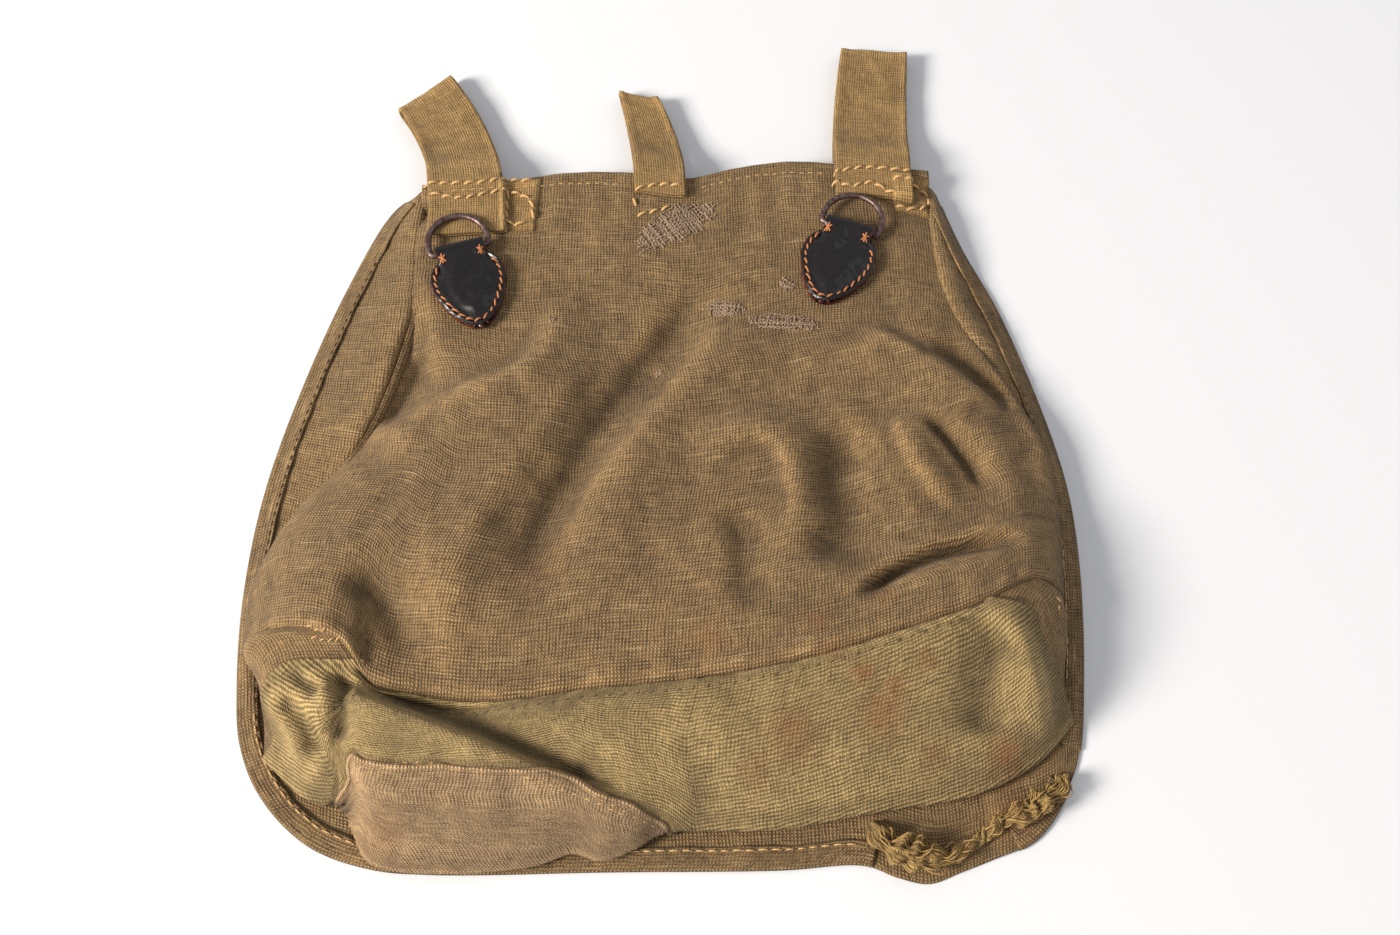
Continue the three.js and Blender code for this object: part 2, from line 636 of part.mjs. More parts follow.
// A belt loop is one strip, folded at its far end and sewn down on the back panel with both
// its ends, one on the other. It hangs over the top edge and lies on the table, a little open.
function beltLoop(loop) {
  const lowZ = CLOTH / 2 + TABLE_ROOM;
  const sewnZ = PAD_HEIGHT + CLEARANCE + CLOTH / 2;
  const ontoZ = sewnZ + CLOTH + CLEARANCE;
  const topZ = lowZ + LOOP_ROOM + CLOTH;
  const bend = (topZ - lowZ) / 2;
  const far = loop.reach;
  const side = [
    [-loop.root, ontoZ],
    [-0.4 * loop.root, ontoZ],
    [-3, ontoZ],
    [7, sewnZ],
    [18, lerp(topZ, sewnZ, 0.3)],
    [28, topZ],
    [far - 2 * bend, topZ],
    [far - bend, topZ],
    [far - 0.3 * bend, topZ - 0.3 * bend],
    [far, lowZ + bend],
    [far - 0.3 * bend, lowZ + 0.3 * bend],
    [far - bend, lowZ],
    [far - 2 * bend, lowZ],
    [18, lowZ],
    [9, lowZ + CLOTH],
    [3.4, 0.45 * PAD_HEIGHT],
    [0.6, PAD_HEIGHT - CLOTH],
    [-CURL_RADIUS, sewnZ],
    [-0.5 * loop.root, sewnZ],
    [-loop.root, sewnZ],
  ];
  const path = rail(side.map(([y, z]) => new THREE.Vector3(0, y, z)));
  const across = (s, y) => {
    const out = clamp((y + loop.root) / (far + loop.root), 0, 1);
    const middle = loop.shareAcross * HALF_WIDTH + loop.lean * out ** 2;
    return middle + (s - 0.5) * lerp(loop.width, loop.endWidth, out ** 3);
  };
  const surface = (s, v) => {
    const p = path.getPointAt(clamp(v, 0, 1));
    const beyond = clamp((p.y - CURL_RADIUS) / (far - CURL_RADIUS), 0, 1) ** 1.5;
    p.x = across(s, p.y);
    p.y += curlFace(across(s, Math.min(p.y, 0))) - loop.skew * beyond * (1 - s);
    return p;
  };
  const rows = [...evenSteps(8, 0, 0.36), ...evenSteps(9, 0.39, 0.56), ...evenSteps(15, 0.6, 1)];
  return wall(surface, evenSteps(3), rows);
}

// A leather tab: two layers sewn together, their fold holding the ring's straight side.
function tabOutline() {
  const shape = new THREE.Shape();
  const at = (half, down) => [half * TAB_WIDTH / 2, -down * TAB_LENGTH];
  const neck = TAB_NECK / TAB_WIDTH;
  shape.moveTo(...at(-neck, 0));
  shape.lineTo(...at(-neck, 0.10));
  shape.bezierCurveTo(...at(-1, 0.16), ...at(-1.06, 0.40), ...at(-0.90, 0.58));
  shape.bezierCurveTo(...at(-0.70, 0.80), ...at(-0.35, 1), ...at(0, 1));
  shape.bezierCurveTo(...at(0.35, 1), ...at(0.70, 0.80), ...at(0.90, 0.58));
  shape.bezierCurveTo(...at(1.06, 0.40), ...at(1, 0.16), ...at(neck, 0.10));
  shape.lineTo(...at(neck, 0));
  return shape;
}

const boreRadius = RING_WIRE / 2 + BORE_ROOM;
const foldRadius = boreRadius + LEATHER;

function ringTab() {
  const slab = new THREE.ExtrudeGeometry(tabOutline(), {
    depth: 2 * LEATHER - 2 * TAB_BEVEL, bevelThickness: TAB_BEVEL, bevelSize: TAB_BEVEL,
    bevelOffset: -TAB_BEVEL, bevelSegments: 1, curveSegments: 8,
  });
  slab.translate(0, 0, TAB_BEVEL);
  const profile = new THREE.Shape();
  profile.absarc(0, foldRadius, foldRadius, -Math.PI / 2, Math.PI / 2, true);
  profile.lineTo(FOLD_TAPER, 2 * LEATHER - 0.2);
  profile.lineTo(FOLD_TAPER, 0.2);
  const fold = new THREE.ExtrudeGeometry(profile, {
    depth: TAB_NECK, bevelEnabled: false, curveSegments: 14,
  });
  fold.translate(0, 0, -TAB_NECK / 2);
  fold.rotateX(Math.PI / 2);
  fold.rotateZ(-Math.PI / 2);
  const bore = new THREE.CylinderGeometry(boreRadius, boreRadius, 2 * TAB_NECK, 16);
  bore.rotateZ(Math.PI / 2);
  bore.translate(0, 0, foldRadius);
  return geometryOf(solid(slab).add(solid(fold)).subtract(solid(bore)));
}

// A D-ring of bent wire: its straight side lies on the local X axis and it stands out to +Y.
function dRing() {
  const half = RING_WIDTH / 2 - RING_WIRE / 2;
  const corner = (x, start) => new THREE.ArcCurve(x, RING_CORNER, RING_CORNER, start, start + Math.PI / 2);
  const points = [
    ...corner(half - RING_CORNER, -Math.PI / 2).getPoints(3),
    ...new THREE.ArcCurve(0, RING_SIDE, half, 0, Math.PI).getPoints(16),
    ...corner(RING_CORNER - half, Math.PI).getPoints(3),
  ];
  const sides = 8;
  const positions = [];
  const index = [];
  points.forEach((p, i) => {
    const before = points[(i + points.length - 1) % points.length];
    const after = points[(i + 1) % points.length];
    const along = after.clone().sub(before).normalize();
    for (let k = 0; k < sides; k += 1) {
      const angle = (2 * Math.PI * (k + 0.5)) / sides;
      const out = (RING_WIRE / 2) * Math.cos(angle);
      positions.push(p.x + along.y * out, p.y - along.x * out, (RING_WIRE / 2) * Math.sin(angle));
    }
  });
  for (let i = 0; i < points.length; i += 1) {
    const next = (i + 1) % points.length;
    for (let k = 0; k < sides; k += 1) {
      const turn = (k + 1) % sides;
      const [a, b, c, d] = [i * sides + k, next * sides + k, next * sides + turn, i * sides + turn];
      index.push(a, b, c, a, c, d);
    }
  }
  const geometry = new THREE.BufferGeometry();
  geometry.setAttribute('position', new THREE.Float32BufferAttribute(positions, 3));
  geometry.setIndex(index);
  return geometry;
}

function tabGroup(side, tab) {
  const fitting = new THREE.Group();
  fitting.position.set(tab.shareAcross * HALF_WIDTH, -tab.down, PAD_HEIGHT + CLEARANCE);
  fitting.rotation.z = THREE.MathUtils.degToRad(tab.turn);
  fitting.add(piece(`ring_tab_${side}`, ringTab(), LEATHER_BLACK, 0.4));
  const ring = piece(`ring_${side}`, dRing(), STEEL_BROWN, 0.55, 0.8);
  ring.position.z = foldRadius;
  ring.rotation.x = THREE.MathUtils.degToRad(RING_LIE);
  fitting.add(ring);
  return fitting;
}

const bag = new THREE.Group();
bag.add(piece('back_panel', backPanel(), CLOTH_BROWN, 0.95));
bag.add(piece('gusset', gusset(), CLOTH_OLIVE, 0.95));
bag.add(piece('front_panel', frontPanel(), CLOTH_BROWN, 0.95));
bag.add(piece('side_gusset_left', leftSide(), CLOTH_BROWN, 0.95));
bag.add(piece('side_gusset_right', rightSide(), CLOTH_BROWN, 0.95));
bag.add(piece('flap', flap(), CLOTH_BROWN, 0.95));
bag.add(piece('belt_loop_left', beltLoop(LEFT_LOOP), LOOP_BROWN, 0.95));
bag.add(piece('centre_strap', beltLoop(STRAP_LOOP), LOOP_BROWN, 0.95));
bag.add(piece('belt_loop_right', beltLoop(RIGHT_LOOP), LOOP_BROWN, 0.95));
bag.add(tabGroup('left', LEFT_TAB));
bag.add(tabGroup('right', RIGHT_TAB));

const box = new THREE.Box3().setFromObject(bag, true);
const centre = box.getCenter(new THREE.Vector3());
bag.position.set(-centre.x, -centre.y, -box.min.z);

const haversack = new THREE.Group();
haversack.add(bag);

export default haversack;
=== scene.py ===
import json
import math
import random
from functools import partial

import bmesh
import bpy
import numpy as np
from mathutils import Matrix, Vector, noise
from mathutils.bvhtree import BVHTree


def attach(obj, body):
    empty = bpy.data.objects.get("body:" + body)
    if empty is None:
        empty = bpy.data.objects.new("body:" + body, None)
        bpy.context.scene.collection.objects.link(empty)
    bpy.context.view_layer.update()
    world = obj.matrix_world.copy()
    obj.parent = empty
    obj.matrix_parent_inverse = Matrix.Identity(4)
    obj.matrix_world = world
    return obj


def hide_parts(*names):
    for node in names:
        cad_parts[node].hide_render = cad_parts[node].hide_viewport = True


# A soldier's bread bag of coarse linen, lying face down, so that its back shows.
# Sizes are in millimetres and become metres where a mesh is made. The bag's own
# coordinates start at its top edge: across from the middle, down as a minus Y.
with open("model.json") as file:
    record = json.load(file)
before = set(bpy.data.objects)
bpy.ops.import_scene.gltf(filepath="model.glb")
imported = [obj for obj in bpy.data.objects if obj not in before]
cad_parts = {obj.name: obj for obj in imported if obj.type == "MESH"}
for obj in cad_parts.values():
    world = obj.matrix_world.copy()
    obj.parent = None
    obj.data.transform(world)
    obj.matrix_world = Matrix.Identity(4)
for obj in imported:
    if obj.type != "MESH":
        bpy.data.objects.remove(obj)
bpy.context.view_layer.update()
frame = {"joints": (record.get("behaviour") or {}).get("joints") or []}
MM = 0.001

# Driving sizes, as the solids have them
HALF_WIDTH = 178
FLAP_LENGTH = 346
PAD_HEIGHT = 12.5
BELLY_RISE = 28.5
CLOTH = 1.2
CLEARANCE = 0.3
TURN_RADIUS = 2.9
EDGE_INSET = 3
MOUTH_DEPTH = 30
SIDE_TOP = 34
GUSSET_BULGE = 7
TURN_SHARE = 0.04
UNDER_HEIGHT = 2.5 * CLOTH + CLEARANCE
TURN_HEIGHT = UNDER_HEIGHT + TURN_RADIUS
CURL_RADIUS = (PAD_HEIGHT - 2 * CLOTH - CLEARANCE) / 2
LOOP_ROOM = 5.2
LEFT_LOOP = {"root": 37, "across": -0.551, "width": 38, "reach": 73, "endWidth": 25, "lean": -31, "skew": 21}
STRAP_LOOP = {"root": 16, "across": -0.017, "width": 26, "reach": 57, "endWidth": 20, "lean": -13, "skew": 0}
RIGHT_LOOP = {"root": 24, "across": 0.584, "width": 38, "reach": 82, "endWidth": 35, "lean": 7, "skew": 0}
LEATHER = 2
TAB_LENGTH = 45
TAB_WIDTH = 37
TAB_NECK = 24
RING_WIDTH = 32
RING_WIRE = 3
RING_SIDE = 5.5
RING_CORNER = 2
BORE_ROOM = 0.35
RING_LIE = 3
LEFT_TAB = {"across": -0.559, "down": 53, "turn": 17}
RIGHT_TAB = {"across": 0.506, "down": 40, "turn": -20}

# The left ring's hinge tells where the bag's own coordinates start in the frame.
left_hinge = [1000 * value for value in frame["joints"][0]["pos_m"]]
SHIFT = np.array([
    left_hinge[0] - LEFT_TAB["across"] * HALF_WIDTH, left_hinge[1] + LEFT_TAB["down"], 0,
])

# Outlines, as shares of half the bag's width across and of the flap's length down
TOP_EDGE = [
    (-0.69, 0.034), (-0.43, 0.024), (-0.26, 0.011), (-0.1, 0.011), (0.05, 0.022),
    (0.21, 0.002), (0.34, -0.009), (0.47, -0.006), (0.745, 0.008),
]
LEFT_EDGE = [
    (-0.69, 0.034, 0), (-0.687, 0.236, 0), (-0.713, 0.302, 0), (-0.747, 0.39, 0),
    (-0.815, 0.481, 0), (-0.897, 0.549, 0.04), (-0.951, 0.614, 0.09), (-0.981, 0.669, 0.12),
    (-0.98, 0.751, 0.03),
]
RIGHT_EDGE = [
    (0.745, 0.008, 0), (0.75, 0.15, 0), (0.771, 0.227, 0), (0.837, 0.31, 0),
    (0.912, 0.39, 0), (0.968, 0.459, 0), (0.983, 0.54, 0), (0.977, 0.611, 0.04),
    (0.963, 0.683, 0.06),
]
BACK_SEAM = [
    (-0.98, 0.751, 0.03), (-0.918, 0.736, 0.4), (-0.851, 0.737, 0.68), (-0.788, 0.742, 0.78),
    (-0.72, 0.757, 0.72), (-0.656, 0.798, 0.46), (-0.516, 0.815, 0.44), (-0.355, 0.821, 0.5),
    (-0.131, 0.81, 0.68), (0.055, 0.805, 0.79), (0.322, 0.782, 0.9), (0.512, 0.754, 0.96),
    (0.738, 0.714, 0.97), (0.873, 0.674, 0.68), (0.927, 0.671, 0.4), (0.963, 0.683, 0.06),
]
LOWER_EDGE = [
    (-0.909, 0.872), (-0.863, 0.892), (-0.801, 0.918), (-0.716, 0.934), (-0.677, 0.962),
    (-0.645, 0.99), (-0.58, 1.001), (-0.478, 1.004), (-0.346, 1.001), (-0.259, 0.994),
    (-0.187, 0.982), (-0.126, 0.99), (-0.051, 0.978), (0.013, 0.96), (0.275, 0.954),
    (0.513, 0.933), (0.656, 0.922), (0.766, 0.906), (0.883, 0.872), (0.962, 0.828),
]
FLAP_LEFT = [
    (-0.712, 0.02), (-0.775, 0.054), (-0.873, 0.188), (-0.963, 0.37), (-1.012, 0.522),
    (-1.021, 0.663), (-1, 0.782), (-0.971, 0.853), (-0.905, 0.915),
]
FLAP_LOW = [
    (-0.905, 0.915), (-0.783, 0.971), (-0.637, 0.997), (-0.502, 1.003), (-0.1, 1),
    (0.274, 0.998), (0.462, 0.993), (0.537, 1.007), (0.606, 1.014), (0.673, 1.002),
    (0.745, 0.988), (0.846, 0.966), (0.917, 0.926),
]
FLAP_RIGHT = [
    (0.772, 0.02), (0.827, 0.118), (0.915, 0.239), (1.023, 0.478), (1.034, 0.608),
    (1.004, 0.777), (0.97, 0.87), (0.917, 0.926),
]
LEFT_CORNER = [
    (-0.855, 0.778, 0.07), (-0.904, 0.808, 0.29), (-0.889, 0.83, 0.47), (-0.876, 0.852, 0.68),
    (-0.895, 0.866, 0.9),
]
RIGHT_CORNER = [
    (0.846, 0.713, 0.1), (0.881, 0.744, 0.3), (0.914, 0.771, 0.54), (0.944, 0.803, 0.81),
]
LEFT_KNOT = 0.165
RIGHT_KNOT = 0.875
SWELL = [(0, 0), (0.32, 0), (0.5, 0.2), (0.7, 0.52), (0.88, 0.78), (1, 0.82)]
SWELL_POWER = 0.55
SEAM_HOLD = 0.78
FRONT_SEAM = [
    (0, 1.12), (0.094, 1.12), (0.106, 0.96), (0.116, 0.8), (0.128, 0.69), (0.146, 0.615),
    (0.18, 0.575), (0.26, 0.56), (0.38, 0.63), (0.46, 0.78), (0.51, 0.97), (0.54, 1.12), (1, 1.12),
]

# Folds of the back panel: a line of points, the width in millimetres on its left and on its
# right as one walks along it, and how far it rises or, below zero, sinks.
BACK_FOLDS = [
    ([(-0.6, 0.2), (-0.62, 0.3), (-0.68, 0.39), (-0.73, 0.45)], 20, 6, -7),
    ([(-0.78, 0.47), (-0.66, 0.43), (-0.5, 0.4), (-0.34, 0.3), (-0.2, 0.22)], 9, 24, 5.5),
    ([(-0.52, 0.76), (-0.44, 0.58), (-0.32, 0.44), (-0.16, 0.3)], 38, 11, 6.5),
    ([(-0.36, 0.74), (-0.26, 0.56), (-0.14, 0.42), (0.02, 0.28), (0.14, 0.17)], 8, 16, -6.5),
    ([(-0.28, 0.7), (-0.14, 0.54), (0, 0.42), (0.12, 0.32), (0.24, 0.24)], 8, 18, 4.5),
    ([(0.06, 0.52), (0.18, 0.46), (0.29, 0.47), (0.34, 0.56), (0.3, 0.66)], 14, 7, 5),
    ([(0.18, 0.56), (0.2, 0.64), (0.2, 0.73)], 10, 8, -4),
    ([(0.52, 0.44), (0.43, 0.5), (0.44, 0.6), (0.38, 0.68)], 22, 13, -7),
    ([(0.44, 0.25), (0.6, 0.31), (0.76, 0.37), (0.9, 0.44)], 6, 20, 5.6),
    ([(0.7, 0.29), (0.8, 0.35), (0.9, 0.42)], 8, 5, -5),
    ([(0.66, 0.43), (0.72, 0.47), (0.8, 0.55)], 6, 2.5, -5.5),
    ([(0.6, 0.42), (0.62, 0.49), (0.72, 0.58)], 9, 5, 5),
    ([(0.78, 0.42), (0.84, 0.5), (0.88, 0.58)], 9, 8, 2.5),
    ([(0.44, 0.71), (0.56, 0.66), (0.72, 0.625), (0.88, 0.615)], 2.4, 6, -13),
    ([(-0.76, 0.66), (-0.66, 0.69), (-0.6, 0.74), (-0.56, 0.79)], 13, 8, -7),
]
LOW_FOLDS = [
    ([(-0.7, 0.8), (-0.5, 0.835), (-0.26, 0.885), (-0.02, 0.93)], 9, 4, -8.5),
    ([(-0.86, 0.8), (-0.62, 0.835), (-0.4, 0.88), (-0.04, 0.945)], 4, 9, 4.5),
    ([(-0.85, 0.77), (-0.8, 0.8), (-0.74, 0.815)], 3, 5, -6),
    ([(-0.86, 0.81), (-0.8, 0.84), (-0.745, 0.885)], 3, 6, -6.5),
    ([(-0.735, 0.78), (-0.705, 0.825), (-0.715, 0.88)], 4, 4, -6.5),
    ([(0.8, 0.73), (0.74, 0.79), (0.74, 0.87)], 9, 14, -7),
    ([(0.88, 0.72), (0.87, 0.8), (0.84, 0.86)], 8, 8, 4),
]


# The share of its length over which each fold fades out at its two ends
FOLD_FADE = 0.25
# The cloth lies level round the middle of a leather tab, and then takes up its folds again.
TAB_LEVEL = 20
TAB_FADE = 18


def lerp(a, b, t):
    return a + (b - a) * t


def smooth(x):
    c = np.clip(x, 0, 1)
    return c * c * (3 - 2 * c)


def within(x, width):
    """0 at both ends of a share x and 1 between them, rising over the given width."""
    return smooth(x / width) * smooth((1 - x) / width)


def leftward(along):
    """Level vectors at right angles to those given, on their left."""
    return np.stack([-along[..., 1], along[..., 0], 0 * along[..., 0]], axis=-1)


def unit(vectors):
    return vectors / np.linalg.norm(vectors, axis=-1, keepdims=True)


def run_of(points):
    """How far along a line each of its points lies."""
    return np.concatenate([[0], np.cumsum(np.linalg.norm(np.diff(points, axis=0), axis=1))])


def read(x, run, points):
    """Places on a line of points, x along its run."""
    return np.stack([np.interp(x, run, column) for column in points.T], axis=-1)


def place(rows, z=0.0):
    """Points in millimetres from rows of shares; a third value is a share of the belly's rise."""
    out = []
    for row in rows:
        rise = PAD_HEIGHT + row[2] * BELLY_RISE if len(row) > 2 else z
        out.append((row[0] * HALF_WIDTH, -row[1] * FLAP_LENGTH, rise))
    return out


class Rail:
    """A smooth curve through chosen points, read by the share of its length."""

    def __init__(self, points, samples=24):
        given = np.array(points, float)
        first = 2 * given[0] - given[1]
        last = 2 * given[-1] - given[-2]
        p = np.vstack([first, given, last])
        dense = [given[0]]
        for i in range(1, len(p) - 2):
            p0, p1, p2, p3 = p[i - 1:i + 3]
            gaps = [max(math.sqrt(np.linalg.norm(gap)), 1e-3) for gap in (p1 - p0, p2 - p1, p3 - p2)]
            m1 = (p1 - p0) / gaps[0] - (p2 - p0) / (gaps[0] + gaps[1]) + (p2 - p1) / gaps[1]
            m2 = (p2 - p1) / gaps[1] - (p3 - p1) / (gaps[1] + gaps[2]) + (p3 - p2) / gaps[2]
            m1 = m1 * gaps[1]
            m2 = m2 * gaps[1]
            for t in np.linspace(0, 1, samples + 1)[1:]:
                bend = (2 * (p1 - p2) + m1 + m2) * t ** 3 + (3 * (p2 - p1) - 2 * m1 - m2) * t ** 2
                dense.append(p1 + m1 * t + bend)
        self.points = np.array(dense)
        self.run = run_of(self.points)
        self.length = self.run[-1]

    def at(self, share):
        return read(np.clip(share, 0, 1) * self.length, self.run, self.points)

    def along(self, share):
        step = 0.002
        return unit(self.at(np.clip(share, 0, 1 - step) + step) - self.at(np.clip(share, step, 1) - step))


def patch(top, low, left, right, s, t):
    """A surface stretched between four rails."""
    s, t = s[:, None], t[:, None]
    a = top(s[:, 0]) * (1 - t) + low(s[:, 0]) * t
    b = left(t[:, 0]) * (1 - s) + right(t[:, 0]) * s
    corners = top(np.array([0.0, 1.0]))
    ends = low(np.array([0.0, 1.0]))
    c = corners[0] * (1 - s) * (1 - t) + corners[1] * s * (1 - t) + ends[0] * (1 - s) * t + ends[1] * s * t
    return a + b - c


def fold_height(folds, p):
    """The folds' height at points p, each fold fading out at its two ends."""
    total = np.zeros(len(p))
    for places, left, right, rise in folds:
        line = Rail(place(places)).points[::4, :2]
        a, b = line[:-1], line[1:]
        ab = b - a
        rel = p[:, None, :2] - a[None]
        share = np.clip((rel * ab).sum(-1) / (ab ** 2).sum(-1), 0, 1)
        near = rel - share[..., None] * ab[None]
        distance = np.linalg.norm(near, axis=-1)
        which = distance.argmin(1)
        pick = np.arange(len(p))
        side = ab[which][:, 0] * rel[pick, which, 1] - ab[which][:, 1] * rel[pick, which, 0]
        width = np.where(side > 0, left, right)
        run = (which + share[pick, which]) / len(a)
        total += rise * within(run, FOLD_FADE) * np.exp(-(distance[pick, which] / width) ** 2)
    return total


def wrinkle(p, size, seed):
    """Soft, even noise from -1 to 1 over points p, with bumps of the given size."""
    return np.array([noise.noise(Vector((q[0] / size, q[1] / size, seed))) for q in p])


# Rails that the cloth pieces share
top_rail = Rail(place(TOP_EDGE, PAD_HEIGHT))
left_rail = Rail(place(LEFT_EDGE))
right_rail = Rail(place(RIGHT_EDGE))
seam_rail = Rail(place(BACK_SEAM))
low_rail = Rail(place(LOWER_EDGE, TURN_HEIGHT))


def corner_rail(rows, knot, end):
    top = seam_rail.at(knot)
    low = low_rail.at(end)
    middle = [(a * HALF_WIDTH, -d * FLAP_LENGTH, lerp(top[2], TURN_HEIGHT, fall)) for a, d, fall in rows]
    return Rail([top, *middle, low])


left_corner = corner_rail(LEFT_CORNER, LEFT_KNOT, 0.0)
right_corner = corner_rail(RIGHT_CORNER, RIGHT_KNOT, 1.0)


def gusset_top(s):
    return seam_rail.at(lerp(LEFT_KNOT, RIGHT_KNOT, np.clip(s, 0, 1)))


def inward(s):
    return unit(leftward(low_rail.along(s)))


def under_edge(s):
    p = low_rail.at(s) + inward(s) * TURN_RADIUS
    p[..., 2] = UNDER_HEIGHT
    return p


def under_side(edge, sign, end):
    points = [under_edge(np.array([end]))[0]]
    for u in np.linspace(0.94, MOUTH_DEPTH / edge.length, 8):
        p = edge.at(u)
        points.append((p[0] - sign * EDGE_INSET, p[1], UNDER_HEIGHT))
    return Rail(points)


under_left = under_side(left_rail, -1, 0.0)
under_right = under_side(right_rail, 1, 1.0)


def mouth_line(s):
    return lerp(under_left.at(1.0), under_right.at(1.0), s[:, None])


def tab_mask(p):
    """0 where the leather tabs lie and 1 away from them, so that the cloth is level there."""
    mask = np.ones(len(p))
    for tab in (LEFT_TAB, RIGHT_TAB):
        turn = math.radians(tab["turn"])
        bar = np.array([tab["across"] * HALF_WIDTH, -tab["down"]])
        tip = bar + TAB_LENGTH * np.array([math.sin(turn), -math.cos(turn)])
        share = np.clip(((p[:, :2] - bar) @ (tip - bar)) / TAB_LENGTH ** 2, 0, 1)
        away = np.linalg.norm(p[:, :2] - bar - share[:, None] * (tip - bar), axis=1)
        mask *= smooth((away - TAB_LEVEL) / TAB_FADE)
    return mask


def back_surface(s, t):
    down = np.clip(t, 0, 1)
    p = patch(top_rail.at, seam_rail.at, left_rail.at, right_rail.at, s, down)
    swell = np.sin(np.pi * s) ** SWELL_POWER * table(SWELL, down) * BELLY_RISE
    edge = lerp(left_rail.at(down)[:, 2], right_rail.at(down)[:, 2], s)
    hold = smooth((down - SEAM_HOLD) / (1 - SEAM_HOLD))
    free = within(s, 0.05) * (1 - hold ** 3) * smooth((down - 0.06) / 0.10) * tab_mask(p)
    small = 1.3 * wrinkle(p, 36, 3) + 0.8 * wrinkle(p, 14, 7) + 0.32 * wrinkle(p, 6.5, 13)
    p[:, 2] = lerp(edge + swell, seam_rail.at(s)[:, 2], hold) - CLOTH / 2
    p[:, 2] += (fold_height(BACK_FOLDS, p) + small) * free
    turn = np.clip(-t, 0, 1) * np.pi
    p[:, 1] += CURL_RADIUS * np.sin(turn)
    p[:, 2] -= CURL_RADIUS * (1 - np.cos(turn))
    return p


def low_surface(s, share):
    t = np.clip(share, 0, 1)
    front = patch(gusset_top, low_rail.at, left_corner.at, right_corner.at, s, t)
    inside = within(s, 0.05) * smooth((1 - t) / 0.12)
    front[:, 2] += GUSSET_BULGE * np.sin(np.pi * t) * inside
    front[:, 2] += fold_height(LOW_FOLDS, front) * inside * smooth(t / 0.1)
    front[:, 2] += (0.9 * wrinkle(front, 22, 11) + 0.35 * wrinkle(front, 7, 12)) * inside
    front[:, 2] -= CLOTH / 2 * (1 - t)
    angle = np.clip((share - 1) / TURN_SHARE, 0, 1) * np.pi / 2
    turned = low_rail.at(s) + inward(s) * (TURN_RADIUS * (1 - np.cos(angle)))[:, None]
    turned[:, 2] = TURN_HEIGHT - TURN_RADIUS * np.sin(angle)
    back = np.clip((share - 1 - TURN_SHARE) / (1 - TURN_SHARE), 0, 1)
    under = patch(under_edge, mouth_line, under_left.at, under_right.at, s, back)
    use = share[:, None]
    return np.where(use <= 1, front, np.where(use <= 1 + TURN_SHARE, turned, under))


def table(rows, x):
    """A value read at x in rows of places and values."""
    return np.interp(x, *zip(*rows))


def front_seam(s):
    return table(FRONT_SEAM, s)


def metres(points):
    """Bag millimetres to the frame's metres."""
    return (np.asarray(points, float) + SHIFT) * MM


def in_bag(across, down):
    """A place given in shares, as bag millimetres."""
    return across * HALF_WIDTH, -down * FLAP_LENGTH


def put(name, data):
    made = bpy.data.objects.new(name, data)
    bpy.context.scene.collection.objects.link(made)
    return made


def show(name, mesh, material, body="bag", node=None):
    """Puts a mesh in the scene as a named piece on its body."""
    made = put(name, mesh)
    mesh.materials.append(material)
    mesh.polygons.foreach_set("use_smooth", [True] * len(mesh.polygons))
    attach(made, body)
    if node:
        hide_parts(node)
    return made


def grid_mesh(name, columns, rows, size):
    grid = bmesh.new()
    bmesh.ops.create_grid(grid, x_segments=columns, y_segments=rows, size=size)
    mesh = bpy.data.meshes.new(name)
    grid.to_mesh(mesh)
    grid.free()
    return mesh


def store(mesh, name, values):
    """Stores a value for each point of a mesh, for its material to read."""
    mesh.attributes.new(name, "FLOAT", "POINT").data.foreach_set("value", values)


def sheet_mesh(name, surface, columns, rows):
    """A mesh over surface(s, t) in bag millimetres. Its UVs count metres of cloth."""
    mesh = grid_mesh(name, columns, rows, 0.5)
    count = len(mesh.vertices)
    even = np.empty(count * 3)
    mesh.vertices.foreach_get("co", even)
    s = even[0::3] + 0.5
    t = 0.5 - even[1::3]
    p = surface(s, t)
    points = metres(p)
    mesh.vertices.foreach_set("co", points.ravel())
    order = np.lexsort((s.round(6), t.round(6)))
    wide = len(np.unique(s.round(6)))
    field = points[order].reshape(-1, wide, 3)
    across = np.linalg.norm(np.diff(field, axis=1), axis=2).cumsum(1)
    across = np.pad(across, ((0, 0), (1, 0)))
    across -= across[:, wide // 2][:, None]
    down = np.linalg.norm(np.diff(field, axis=0), axis=2).mean(1).cumsum()
    down = np.pad(down, (1, 0))
    uv = np.empty((count, 2))
    uv[order, 0] = across.ravel()
    uv[order, 1] = np.repeat(down, wide)
    corner = np.empty(len(mesh.loops), int)
    mesh.loops.foreach_get("vertex_index", corner)
    mesh.uv_layers.new(name="cloth").data.foreach_set("uv", uv[corner].ravel())
    return mesh, {"s": s, "t": t, "p": p, "order": order, "wide": wide}


def thicken(made, thick, offset):
    wall = made.modifiers.new("thickness", "SOLIDIFY")
    wall.thickness = thick * MM
    wall.offset = offset


def cloth(name, surface, columns, rows, finish, node=None, thick=CLOTH):
    """A sheet of cloth with its thickness, worn ridges, painted shade in its hollows, and stains."""
    mesh, grid = sheet_mesh(name, surface, columns, rows)
    marks(mesh, grid["p"], grid["wide"], grid["order"])
    made = show(name, mesh, finish, "bag", node)
    thicken(made, thick, 0)
    return made


